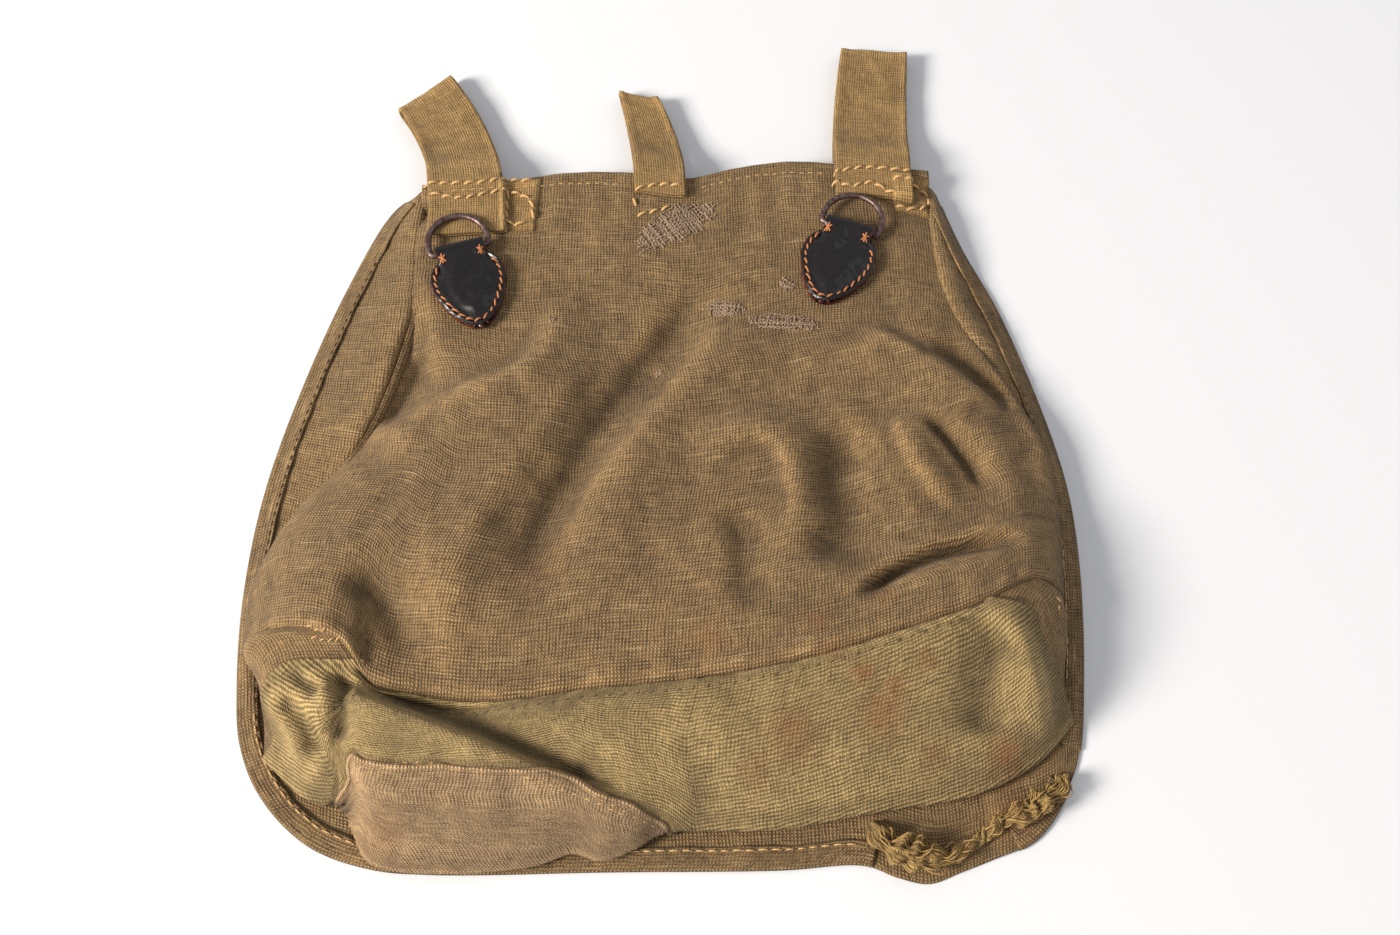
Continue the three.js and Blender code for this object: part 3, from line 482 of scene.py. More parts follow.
def threads(name, runs, radius, material, body="bag", closed=False, sides=1):
    """Round threads or wire along runs of points; each run is points and their thickness shares."""
    curve = bpy.data.curves.new(name, "CURVE")
    curve.dimensions = "3D"
    curve.bevel_depth = radius * MM
    curve.bevel_resolution = sides
    curve.use_fill_caps = not closed
    for points, shares in runs:
        spline = curve.splines.new("POLY")
        spline.points.add(len(points) - 1)
        flat_points = np.column_stack([points, np.ones(len(points))])
        spline.points.foreach_set("co", flat_points.ravel())
        spline.points.foreach_set("radius", shares)
        spline.use_cyclic_u = closed
        spline.use_smooth = True
    stand_in = bpy.data.objects.new(name + "_path", curve)
    mesh = bpy.data.meshes.new_from_object(stand_in)
    mesh.materials.clear()
    bpy.data.objects.remove(stand_in)
    return show(name, mesh, material, body)


# The flap's side strips rise beside the bag: the height of their ridge in millimetres from
# the top edge down.
STRIP_LEFT = [(0, 4), (0.1, 7.5), (0.25, 9), (0.42, 8), (0.52, 4), (0.65, 1.6), (0.85, 0.6), (1, 0.3)]
STRIP_RIGHT = [(0, 5), (0.1, 9.5), (0.28, 10), (0.36, 7), (0.45, 4), (0.6, 2), (0.9, 0.6), (1, 0.3)]
# How far the back panel's own sides lie below the pad's height, next to those strips
DIP_LEFT = [(0, 6), (0.1, 4.6), (0.2, 4.6), (0.28, 7), (0.42, 7.5), (0.5, 3), (0.58, 0), (1, 0)]
DIP_RIGHT = [(0, 6.5), (0.1, 2.4), (0.28, 2), (0.36, 0), (1, 0)]
BACK_LENGTH = 250


def back_cloth(s, t):
    p = back_surface(s, t)
    down = np.clip(t, 0, 1)
    reach = smooth(down / 0.05)
    left = table(DIP_LEFT, down * 0.75) * (1 - smooth(s / 0.11)) * reach
    right = table(DIP_RIGHT, down * 0.70) * (1 - smooth((1 - s) / 0.10)) * reach
    p[:, 2] -= (left + right) * tab_mask(p)
    from_top = down * BACK_LENGTH
    from_seam = (1 - down) * BACK_LENGTH
    p[:, 2] += 1.3 * noise_line(s * 26, 4) * np.exp(-((from_top - 16) / 16) ** 2) * tab_mask(p)
    pucker = 1 + 0.7 * noise_line(s * 34, 2)
    p[:, 2] += 0.9 * pucker * np.exp(-((from_seam - 4) / 3) ** 2) * (down > 0.5)
    p[:, 2] -= 2.6 * np.exp(-(from_seam / 1.5) ** 2) * within(s, 0.05)
    p[:, 2] += 1.5 * noise_line(s * 44, 6) * np.exp(-from_seam / 12) * smooth(from_seam / 3) * (down > 0.5)
    return p


# The flap, the bag's own cloth turned over the top edge, flat below the bag
flap_left = Rail(place(FLAP_LEFT, CLOTH / 2))
flap_low = Rail(place(FLAP_LOW, CLOTH / 2))
flap_right = Rail(place(FLAP_RIGHT, CLOTH / 2))
fold_line = top_rail.at(np.linspace(0.04, 0.96, 12)) + [0, CURL_RADIUS, CLOTH / 2 - PAD_HEIGHT]
flap_top = Rail([flap_left.at(0.0), *fold_line, flap_right.at(0.0)])
bag_low = np.array(place(LOWER_EDGE))
left_side_line = np.vstack([left_rail.points, bag_low[[0, 3, 5]]])
right_side_line = np.vstack([right_rail.points, bag_low[[-1, -2, -3]]])


def side_at(line, y):
    order = np.argsort(-line[:, 1])
    return np.interp(-y, -line[order, 1], line[order, 0])


def flap_cloth(s, t):
    spread = lerp(s, 0.5 - 0.5 * np.cos(np.pi * s), 0.55)
    p = patch(flap_top.at, flap_low.at, flap_left.at, flap_right.at, spread, t)
    down = -p[:, 1] / FLAP_LENGTH
    raised = np.zeros(len(p))
    for side, outer, inner, rows in (
        (1, flap_left.points, left_side_line, STRIP_LEFT),
        (-1, flap_right.points, right_side_line, STRIP_RIGHT),
    ):
        edge = side_at(outer, p[:, 1])
        ridge = side_at(inner, p[:, 1]) - side * 1.5
        share = (p[:, 0] - edge) / (ridge - edge)
        past = side * (p[:, 0] - ridge)
        raised += table(rows, down) * smooth(share) * (1 - smooth((past - 1.5) / 5))
    border = within(s, 0.03) * smooth((1 - t) / 0.03)
    p[:, 2] += raised * smooth((down + 0.01) / 0.06)
    p[:, 2] += (0.8 + 0.8 * wrinkle(p, 30, 21)) * border * smooth(raised + 0.2)
    return p


hem_line = Rail(place(FLAP_LEFT[:-1] + FLAP_LOW + FLAP_RIGHT[-2::-1]), samples=32)


def hem_cloth(start, end, width):
    """A stretch of the flap's turned hem, from and to shares of the hem's line."""
    def surface(s, t):
        u = lerp(start, end, s)
        pucker = noise_line(u * hem_line.length / 9, 5)
        reach = (width + 0.7 * pucker) * (t - 0.03)
        p = hem_line.at(u) + leftward(hem_line.along(u)) * reach[:, None]
        roll = np.clip(t / 0.16, 0, 1)
        p[:, 2] = settle(p[:, :2], 0, flap_skin)[:, 2]
        rise = within(s, 0.04)
        height = CLOTH + 0.3 * rise + 0.45 * pucker * rise * smooth(t / 0.5)
        p[:, 2] += height * np.sqrt(1 - (1 - roll) ** 2)
        p[:, 2] += 0.35 * wrinkle(p, 4, 9) * smooth(t / 0.3)
        return p
    return surface


def noise_line(x, seed):
    """Soft, even noise from -1 to 1 along a line."""
    return np.array([noise.noise(Vector((value, seed, 0.5))) for value in x])


def loop_cloth(loop):
    """A belt loop: one strip, folded at its far end and sewn down with both its ends."""
    low = CLOTH / 2 + 0.4
    sewn = PAD_HEIGHT + CLEARANCE + CLOTH / 2
    onto = sewn + CLOTH + CLEARANCE
    high = low + LOOP_ROOM + CLOTH
    bend = (high - low) / 2
    far = loop["reach"]
    root = loop["root"]
    path = Rail([(0, y, z) for y, z in (
        (-root, onto), (-0.4 * root, onto), (-3, onto), (7, sewn), (18, lerp(high, sewn, 0.3)),
        (28, high), (far - 2 * bend, high), (far - bend, high), (far - 0.3 * bend, high - 0.3 * bend),
        (far, low + bend), (far - 0.3 * bend, low + 0.3 * bend), (far - bend, low),
        (far - 2 * bend, low), (18, low), (9, low + CLOTH), (3.4, 0.45 * PAD_HEIGHT),
        (0.6, PAD_HEIGHT - CLOTH), (-CURL_RADIUS, sewn), (-0.5 * root, sewn), (-root, sewn),
    )])

    def across(s, y):
        out = np.clip((y + root) / (far + root), 0, 1)
        middle = loop["across"] * HALF_WIDTH + loop["lean"] * out ** 2
        return middle + (s - 0.5) * lerp(loop["width"], loop["endWidth"], out ** 3)

    def surface(s, t):
        p = path.at(t)
        y = p[:, 1].copy()
        beyond = np.clip((y - CURL_RADIUS) / (far - CURL_RADIUS), 0, 1) ** 1.5
        p[:, 0] = across(s, y)
        p[:, 1] = y + curl_face(across(s, np.minimum(y, 0))) - loop["skew"] * beyond * (1 - s)
        out = smooth((y - 4) / 18) * smooth((t - 0.02) / 0.1)
        p[:, 2] += out * (0.8 * wrinkle(p, 16, 31) + 0.4 * wrinkle(p, 7, 33))
        from_edge = np.minimum(s, 1 - s) * loop["width"]
        p[:, 2] += lerp(0.1, 0.5, smooth((y + 6) / 12)) * (1 - smooth((from_edge - 2.8) / 0.8))
        p[:, 2] = np.maximum(p[:, 2], 0.5 * CLOTH + 0.05)
        return p
    return surface


def curl_face(x):
    """Where the cloth that curls over the top edge ends, at places x across."""
    first, last = top_rail.points[0, 0], top_rail.points[-1, 0]
    return top_rail.at((x - first) / (last - first))[:, 1] + CURL_RADIUS + CLOTH / 2


# The bottom panel's way down in millimetres, for what follows its seams
LOW_LENGTH = 80


def low_cloth(top, end, under_top, under_end):
    """A panel of the lower body between two shares of the way down and round below the bag.
    Its top and its end go on a little way under the cloth that they are sewn to."""
    def surface(s, t):
        first, last = top(s), end(s)
        calm = np.exp(-(np.abs(end(s + 0.003) - end(s - 0.003)) / 0.03) ** 2)
        share = lerp(first, last, np.clip((t - 0.05) / 0.9, 0, 1))
        p = low_surface(s, share)
        for given, over, room, step in (
            (first, np.clip(1 - t / 0.05, 0, 1), under_top, 0.02),
            (last, np.clip((t - 0.95) / 0.05, 0, 1), under_end, -0.02),
        ):
            back = unit(low_surface(s, given) - low_surface(s, given + step))
            above = given < 1.05
            p += back * (over * room * calm)[:, None]
            p[:, 2] -= 1.5 * smooth(over * 1.6) * (room > 0) * above
            if room:
                from_seam = np.abs(share - given) * LOW_LENGTH
                groove = 2.6 * np.exp(-(from_seam / 1.9) ** 2) * within(s, 0.03)
                near = np.exp(-from_seam / 9) * smooth(from_seam / 2)
                p[:, 2] += (1.4 * noise_line(s * 48, step * 100) * near - groove) * calm * above
        return p
    return surface


# The side gussets, tucked in under the back panel's sides: how far they go under the cloth that
# they are sewn to, how far in their knotted corner lies, and how deep they swell and fold in
SEAM_REACH = 1.6
KNOT_REACH = 2.5
SIDE_SWELL = 5
SIDE_TUCK = 12


def beside(curve, u, side):
    """A point a little way under the cloth that a side gusset is sewn to."""
    return curve.at(u) - unit(leftward(curve.along(u))) * side * SEAM_REACH - [0, 0, 1.5 * CLOTH]


def side_cloth(sign, edge, under, corner, start, knot_share):
    """A side gusset between the back panel's side and seam above and the turned edge below."""
    drop = 1.5 * CLOTH + CLEARANCE
    knot = seam_rail.at(knot_share)
    back = seam_rail.at(lerp(knot_share, start, 0.2)) - knot
    fore = corner.at(0.2) - knot
    knot = knot - unit(unit(back) + unit(fore)) * KNOT_REACH - [0, 0, 2.2 * CLOTH]
    sides = [edge.at(u) - [sign * EDGE_INSET, 0, CLOTH / 2 + drop]
             for u in np.linspace(SIDE_TOP / edge.length, 0.95, 9)]
    seam = [beside(seam_rail, lerp(start, knot_share, u), -1) - [0, 0, 3 * drop * (1 - u) ** 3]
            for u in np.linspace(0.1, 0.8, 6)]
    ends = [beside(corner, u, sign) for u in np.linspace(0.3, 1, 7)]

    def level(p):
        return np.array([p[0], p[1], UNDER_HEIGHT + drop])

    below = [level(under.at(u)) for u in np.linspace(0.17, 0.045, 6)]
    upper = np.array([*sides, *seam, knot])
    lower = np.array([*[level(p) for p in sides], *below, ends[-1]])
    end_rail = Rail([knot, *ends])
    turn = len(sides) / (len(sides) + len(seam))

    def row(points, along):
        dense = Rail(points).points
        return read(along * (len(dense) - 1), np.arange(len(dense)), dense)

    def surface(s, t):
        across = s if sign > 0 else 1 - s
        high = row(upper, t)
        low = row(lower, t)
        p = lerp(high, low, across[:, None])
        straight = lerp(knot[None], end_rail.at(1.0)[None], across[:, None])
        p += (end_rail.at(across) - straight) * smooth((t - turn) / (1 - turn))[:, None]
        height = high[:, 2] - low[:, 2]
        limit = height * height / (6 * CLOTH)
        bulge = smooth((t - turn) / 0.2) * smooth((1 - t) / 0.2)
        tuck = smooth((turn - 0.03 - t) / 0.08)
        depth = np.minimum(SIDE_SWELL, limit) * bulge - np.minimum(SIDE_TUCK, limit) * tuck
        p[:, 0] += sign * depth * 4 * across * (1 - across)
        p[:, 2] += 0.5 * wrinkle(p, 11, 41) * bulge
        return p
    return surface


# Colours are sRGB hex values as the eye reads them, turned linear here.
def linear(code):
    parts = [int(code[i:i + 2], 16) / 255 for i in (1, 3, 5)]
    return [c / 12.92 if c <= 0.04045 else ((c + 0.055) / 1.055) ** 2.4 for c in parts] + [1.0]


def fit(tree, node, settings):
    """Sets a node's properties and inputs. An input takes a value, a colour as a hex code, or what
    another node gives out; _0 and _1 are inputs by number."""
    for name, value in settings.items():
        if hasattr(node, name):
            setattr(node, name, value)
            continue
        socket = node.inputs[int(name[1:]) if name[0] == "_" else name.replace("_", " ")]
        if isinstance(value, bpy.types.NodeSocket):
            tree.links.new(value, socket)
        else:
            socket.default_value = linear(value) if isinstance(value, str) else value


def add(tree, kind, out=0, **settings):
    """Adds a node and gives back one of its outputs."""
    made = tree.nodes.new("ShaderNode" + kind)
    fit(tree, made, settings)
    return made.outputs[out]


def new_material(name):
    """A material, with what adds a node to it and what sets its shader."""
    made = bpy.data.materials.new(name)
    made.use_nodes = True
    tree = made.node_tree
    return made, partial(add, tree), lambda **settings: fit(tree, tree.nodes["Principled BSDF"], settings)


# Real threads are 0.8 mm apart. They are drawn 1.4 mm apart, coarser than they are, to show.
DRAWN_COARSER = 1.8


def woven(name, dark, light, pale, thread=0.8, slub=0.38, twill=0.0):
    """Woven linen or twill of hand-spun thread: uneven threads crossing give a soft grain,
    thick slubs lie across it as pale dashes, hollows get painted shade and rubbed ridges are paler."""
    made, node, dress = new_material(name)
    cloth_uv = node("UVMap", uv_map="cloth")
    place_at = node("TexCoord", "Object")

    def streaks(long, short, detail=2.0):
        at = node("Mapping", Vector=cloth_uv, Scale=(1 / (long * MM), 1 / (short * MM), 1))
        return node("TexNoise", Vector=at, Scale=1.0, Detail=detail, Roughness=0.6)

    def bands(way):
        at = node("Mapping", Vector=cloth_uv, Rotation=(0, 0, math.radians(twill)))
        wave = math.tau / (20 * DRAWN_COARSER * thread * MM)
        return node("TexWave", "Fac", Vector=at, bands_direction=way, Scale=wave,
                    Distortion=4.0, Detail=3.0, Detail_Scale=0.7)

    def over(base, share, colour):
        return node("MixRGB", Fac=share, Color1=base, Color2=colour)

    def shade(base, value, low, high, darkest, palest):
        tone = node("MapRange", Value=value, From_Min=low, From_Max=high, To_Min=darkest, To_Max=palest)
        return node("MixRGB", Color1=base, Color2=tone, Fac=1.0, blend_type="MULTIPLY")

    across = bands("Y")
    along = bands("X")
    if twill:
        along = node("MapRange", Value=along, To_Min=0.55)
    crossing = node("Math", operation="MULTIPLY", _0=across, _1=along)
    grain = node("Math", operation="ADD", _0=streaks(9, thread), _1=streaks(thread, 7))
    grain = node("Math", operation="ADD", _0=grain, _1=crossing)
    low, high = (0.86, 2.02) if twill else (0.76, 1.78)
    tone = node("MapRange", Value=grain, From_Min=low, From_Max=high)
    base = over(dark, tone, light)
    dashes = node("MapRange", Value=streaks(24, 0.7, 1.0), From_Min=0.60, From_Max=0.74, To_Max=slub)
    base = over(base, dashes, pale)
    cloud = node("TexNoise", Vector=place_at, Scale=28.0, Detail=7.0, Roughness=0.7)
    base = shade(base, cloud, 0.3, 0.7, 0.72, 1.20)
    # Painted shade and wear: the cloth's hollows are darkened as shade, its ridges made paler as rubbed
    base = shade(base, node("Attribute", "Fac", attribute_name="worn"), -1.0, 1.0, 0.70, 1.22)
    stain = node("Attribute", "Fac", attribute_name="stain")
    patchy = node("TexNoise", Vector=place_at, Scale=160.0, Detail=4.0)
    spread = node("Math", operation="MULTIPLY", _0=stain, _1=patchy, use_clamp=True)
    base = over(base, spread, "#7a4420")
    crumple = node("TexNoise", Vector=place_at, Scale=110.0, Detail=5.0, Roughness=0.6, Distortion=0.7)
    soft = node("Bump", Height=crumple, Strength=0.6, Distance=1.5 * MM)
    fine = node("Bump", Height=grain, Normal=soft, Strength=1.0, Distance=0.45 * MM)
    dress(Base_Color=base, Normal=fine, Roughness=0.92, Sheen_Weight=0.03, Sheen_Roughness=0.5)
    return made


def tabs_leather():
    """Black harness leather, polished with wax: a shine over fine grain, worn to red-brown
    along its cut edges."""
    made, node, dress = new_material("waxed_black_leather")
    place_at = node("TexCoord", "Object")
    edge = node("Attribute", "Fac", attribute_name="edge")
    scuff = node("TexNoise", Vector=place_at, Scale=420.0, Detail=5.0)
    wear = node("Math", operation="MULTIPLY", _0=edge, _1=scuff)
    shown = node("MapRange", Value=wear, From_Min=0.28, From_Max=0.55)
    base = node("MixRGB", Fac=shown, Color1="#0e0a0b", Color2="#5d2c1c")
    dull = node("MapRange", Value=scuff, To_Min=0.26, To_Max=0.60)
    pores = node("TexVoronoi", Vector=place_at, Scale=1 / (0.9 * MM))
    creased = node("TexNoise", Vector=place_at, Scale=75.0, Detail=2.5, Distortion=1.2)
    folds = node("Bump", Height=creased, Strength=0.5, Distance=1.8 * MM)
    grain = node("Bump", Height=pores, Normal=folds, Strength=0.15, Distance=0.12 * MM)
    dress(Base_Color=base, Roughness=dull, Normal=grain, Coat_Weight=0.4, Coat_Roughness=0.18,
          Specular_IOR_Level=0.25)
    return made


def rings_steel():
    """Drawn steel wire, browned and handled: dull brown-grey with smooth brighter rubs."""
    made, node, dress = new_material("browned_steel")
    place_at = node("TexCoord", "Object")
    rust = node("TexNoise", Vector=place_at, Scale=380.0, Detail=6.0, Roughness=0.7)
    amount = node("MapRange", Value=rust, From_Min=0.42, From_Max=0.62)
    base = node("MixRGB", Fac=amount, Color1="#7a6663", Color2="#4d3530")
    dull = node("MapRange", Value=rust, To_Min=0.28, To_Max=0.62)
    pits = node("Bump", Height=rust, Strength=0.4, Distance=0.25 * MM)
    dress(Base_Color=base, Roughness=dull, Normal=pits, Metallic=0.8)
    return made


def yarn(name, dark, light):
    """Twisted linen sewing thread, waxed: short pale and dark bands along each stitch."""
    made, node, dress = new_material(name)
    twist = node("TexNoise", Vector=node("TexCoord", "Object"), Scale=900.0, Detail=2.0)
    dress(Base_Color=node("MixRGB", Fac=twist, Color1=dark, Color2=light), Roughness=0.75)
    return made


# Coarse brown linen, hand-spun and plain woven: an uneven grain with pale slubs, faded on its ridges, with
# painted shade in its hollows
brown_linen = woven("back_brown_linen", "#473520", "#a58456", "#d2b585")
# The same linen below the belly, painted paler where it faces the light, and redder, with a sharper grain
lit_front_linen = woven("front_linen_painted_lit", "#5b462e", "#bc9a70", "#d4b98f")
# The same linen on the flap, on the side that faces the bag, with painted shade darkening its hollows
flap_linen = woven("flap_brown_linen", "#483620", "#a28255", "#d0b282")
# Olive khaki cotton twill, machine spun and woven: slanting ribs, few slubs, spots of rust
olive_twill = woven("olive_khaki_twill", "#594829", "#b79b66", "#cfb685", slub=0.15, twill=8.0)
# The hem's linen where it is torn, its threads pulled open: more golden, with deep dark gaps
torn_linen = woven("torn_golden_linen", "#453319", "#a3844e", "#cdb07a", thread=0.7)
# Close brown linen webbing, doubled and pressed: a tighter, smoother and paler grain
loop_webbing = woven("close_brown_webbing", "#684f2e", "#c09a5f", "#d4b47c", thread=0.7, slub=0.2)
black_leather = tabs_leather()
browned_steel = rings_steel()
# Sewing threads, waxed: pale on the loops and hem, orange on the leather, brown in the seams
pale_thread = yarn("pale_waxed_thread", "#a57b45", "#e0b981")
orange_thread = yarn("orange_waxed_thread", "#8a4722", "#d08b55")
brown_thread = yarn("brown_sewing_thread", "#4b3822", "#6f5535")
# Soft unwaxed yarns: the mauve-grey wool of the darns, and the hem's own frayed linen
darning_yarn = yarn("mauve_darning_yarn", "#5d4836", "#b79d82")
frayed_yarn = yarn("golden_frayed_yarn", "#6e5428", "#b8965a")

# Rust and damp marks: across and down as shares, radius in millimetres, strength
STAINS = [
    (0.3, 0.865, 9, 0.8), (0.5, 0.84, 8, 0.9), (0.53, 0.815, 5, 1), (0.46, 0.8, 5, 0.9),
    (0.6, 0.785, 4, 1), (0.22, 0.9, 6, 0.6), (0.4, 0.775, 5, 0.8), (0.52, 0.7, 5, 0.7),
    (0.36, 0.735, 4, 0.7), (0.12, 0.755, 6, 0.6), (0.79, 0.875, 7, 1.1), (0.8, 0.935, 9, 0.6),
    (-0.6, 0.965, 7, 0.4), (-0.3, 0.66, 12, 0.3), (0.62, 0.88, 6, 0.5),
]


def marks(made, p, wide, order):
    """Stores on each point of a cloth how far it stands out of its surroundings, for rubbed wear on its
    ridges and painted shade in its hollows, and its stains.
    """
    z = p[order, 2].reshape(-1, wide)
    level = z.copy()
    for _ in range(10):
        padded = np.pad(level, 1, mode="edge")
        level = (padded[:-2, 1:-1] + padded[2:, 1:-1] + padded[1:-1, :-2] + padded[1:-1, 2:]) / 4
    # Above its surroundings a point is rubbed paler; below them it is painted darker as shade
    worn = np.empty(len(p))
    worn[order] = np.clip((z - level) / 0.5, -1, 1).ravel()
    stain = np.zeros(len(p))
    for across, down, radius, strength in STAINS:
        x, y = in_bag(across, down)
        away = np.hypot(p[:, 0] - x, p[:, 1] - y) / radius
        stain = np.maximum(stain, strength * np.exp(-away ** 2))
    store(made, "worn", worn)
    store(made, "stain", stain)


def back_rows(s, t):
    """The back panel, with its rows closer together towards the seam."""
    return back_cloth(s, 1 - 1.18 * (1 - t) ** 1.3)


back = cloth("back_cloth", back_rows, 190, 240, brown_linen, "back_panel")
flap_piece = cloth("flap_cloth", flap_cloth, 170, 150, flap_linen, "flap")
bottom_surface = low_cloth(lambda s: 0 * s, front_seam, 4, 4)
bottom = cloth("bottom_cloth", bottom_surface, 190, 70, olive_twill, "gusset")
front_surface = low_cloth(front_seam, lambda s: 0 * s + 2, 0, 0)
# The front panel takes the linen painted paler where it faces the light
front = cloth("front_cloth", front_surface, 150, 150, lit_front_linen, "front_panel")
left_side, right_side = [
    cloth(side + "_side_cloth", surface, 24, 130, brown_linen, "side_gusset_" + side)
    for side, surface in (
        ("left", side_cloth(-1, left_rail, under_left, left_corner, 0, LEFT_KNOT)),
        ("right", side_cloth(1, right_rail, under_right, right_corner, 1, RIGHT_KNOT)),
    )
]
left_loop, strap, right_loop = [
    cloth(name, loop_cloth(loop), columns, rows, loop_webbing, node)
    for name, loop, columns, rows, node in (
        ("left_loop_cloth", LEFT_LOOP, 24, 150, "belt_loop_left"),
        ("strap_cloth", STRAP_LOOP, 18, 120, "centre_strap"),
        ("right_loop_cloth", RIGHT_LOOP, 24, 150, "belt_loop_right"),
    )
]

# The leather tabs: one strap, folded round the ring's straight side and sewn on itself
FOLD_RADIUS = RING_WIRE / 2 + BORE_ROOM + LEATHER


def bezier(a, b, c, d, t):
    t = t[:, None]
    return a * (1 - t) ** 3 + 3 * b * t * (1 - t) ** 2 + 3 * c * t ** 2 * (1 - t) + d * t ** 3


def tab_side():
    """Half the tab's outline, from its neck to its tip, as half widths and places down."""
    neck = TAB_NECK / TAB_WIDTH
    t = np.linspace(0, 1, 40)
    shoulder = bezier(*np.array([(neck, 0.1), (1, 0.16), (1.06, 0.4), (0.9, 0.58)]), t)
    tip = bezier(*np.array([(0.9, 0.58), (0.7, 0.8), (0.35, 1), (0.03, 1)]), t)
    side = np.vstack([[(neck, 0)], shoulder, tip[1:]])
    return side * [TAB_WIDTH / 2, TAB_LENGTH]


TAB_OUTLINE = tab_side()
TAB_ROOT = PAD_HEIGHT + CLEARANCE


def tab_half(share):
    """Half width and place down of the tab's outline at shares of its length."""
    run = run_of(TAB_OUTLINE)
    return read(share * run[-1], run, TAB_OUTLINE).T


def rim_distance(x, y):
    edge = TAB_OUTLINE[1:]
    return np.sqrt(((np.abs(x)[:, None] - edge[:, 0]) ** 2 + (-y[:, None] - edge[:, 1]) ** 2).min(1))


def tab_top(x, y):
    """Height of the tab's upper face: a rolled rim, a groove where it is sewn, a full middle."""
    d = rim_distance(x, y)
    z = 3.1 + 1.1 * (1 - np.exp(-d / 0.5)) + 0.5 * np.exp(-((d - 1.2) / 0.7) ** 2)
    z -= 0.45 * np.exp(-((d - 2.5) / 0.6) ** 2)
    z += 2.1 * smooth((d - 2.5) / 8)
    shoulder = smooth((np.abs(x) - 0.42 * TAB_NECK) / 2) * smooth((-y - 2) / 2.5)
    roll = smooth((y + 13) / 13) * (1 - shoulder)
    return lerp(z, 2 * FOLD_RADIUS, roll)


def tab_leather(s, t):
    lower = np.clip(t / 0.38, 0, 1)
    upper = np.clip((t - 0.54) / 0.46, 0, 1)
    half, down = tab_half(np.where(t < 0.5, 1 - lower, upper))
    x = (2 * s - 1) * half * np.where(t < 0.5, 0.97, 1)
    y = -down
    flat = np.stack([x, y], 1)
    top = tab_top(x, y) + (1.3 * wrinkle(flat, 10, 51) + 0.5 * wrinkle(flat, 4, 52)) * smooth(upper / 0.1)
    angle = np.pi * (np.clip((t - 0.38) / 0.16, 0, 1) - 0.5)
    on_roll = (t > 0.38) & (t < 0.54)
    y = np.where(on_roll, FOLD_RADIUS * np.cos(angle), y)
    z = np.where(t <= 0.38, 0.05, np.where(on_roll, FOLD_RADIUS * (1 + np.sin(angle)), top))
    return np.stack([x, y, z], axis=1)


def on_tab(tab, p):
    """Points of a tab's own coordinates, laid on the bag."""
    turn = math.radians(tab["turn"])
    p = np.asarray(p, float)
    x = p[:, 0] * math.cos(turn) - p[:, 1] * math.sin(turn)
    y = p[:, 0] * math.sin(turn) + p[:, 1] * math.cos(turn)
    return np.stack([x + tab["across"] * HALF_WIDTH, y - tab["down"], p[:, 2] + TAB_ROOT], axis=1)


def ring_tab(side, tab):
    """The strip of leather, level at its back and full in front, with its cut edge rounded."""
    name = side + "_tab_leather"
    mesh, grid = sheet_mesh(name, lambda s, t: on_tab(tab, tab_leather(s, t)), 44, 190)
    border = np.minimum(np.minimum(grid["s"], 1 - grid["s"]) * 24, (1 - grid["t"]) * 90)
    store(mesh, "edge", np.exp(-border / 0.9))
    made = show(name, mesh, black_leather, "bag", "ring_tab_" + side)
    thicken(made, LEATHER - 0.1, -1)
    rounded = made.modifiers.new("cut_edge", "BEVEL")
    rounded.width = 0.35 * MM
    rounded.segments = 2
    rounded.limit_method = "ANGLE"


# The sewing on a tab: how thick its thread is, and how far in from the edge it runs
TAB_THREAD = 0.52
TAB_SEAM = 2.5


def tab_stitches(side, tab):
    """Big slanting stitches in the groove, and crossed ones where the neck starts."""
    half, down = tab_half(np.linspace(0.13, 0.985, 120))
    outline = np.vstack([np.stack([-half, -down], 1), np.stack([half, -down], 1)[::-1]])
    inside = outline + TAB_SEAM * unit(np.array([0, -0.45 * TAB_LENGTH]) - outline)
    seam = np.column_stack([inside, tab_top(*inside.T)])
    runs = stitch_runs(on_tab(tab, seam), 3.4, 0.9, TAB_THREAD, lift=0.4, slant=0.35)
    for x in (2.6 - TAB_NECK / 2, TAB_NECK / 2 - 2.6):
        for wide, upper, lower in ((1.5, -3.5, -6.5), (-1.5, -3.5, -6.5), (0, -2.5, -7)):
            ends = lerp(np.array([[x - wide, upper]]), [[x + wide, lower]], np.array([[0], [0.5], [1]]))
            cross = np.column_stack([ends, tab_top(*ends.T) + [0.1, 0.7, 0.1]])
            runs.append((metres(on_tab(tab, cross)), [0.8, 1, 0.8]))
    threads(side + "_tab_stitches", runs, TAB_THREAD, orange_thread, sides=2)


def stitch_runs(points, length, gap, radius, lift=0.0, slant=0.0):
    """Stitches along a line of points on the cloth: each dips into it at both ends."""
    run = run_of(points)
    runs = []
    start = 0.0
    while start + length < run[-1]:
        wobble = noise.noise(Vector((len(runs) * 7.31, 1.7, 0.3)))
        this = length * (1 + 0.22 * wobble)
        p = read(start + np.linspace(0, 1, 5) * this, run, points)
        along = p[-1] - p[0]
        side = leftward(along) / max(np.linalg.norm(along[:2]), 1e-6)
        p += side * (np.linspace(-0.5, 0.5, 5) * slant * this + 0.25 * wobble)[:, None]
        p[:, 2] += radius * np.array([-1.0, 0.7, 1.0, 0.7, -1.0]) + lift
        runs.append((metres(p), [0.7, 1, 1, 1, 0.7]))
        start += this + gap
    return runs


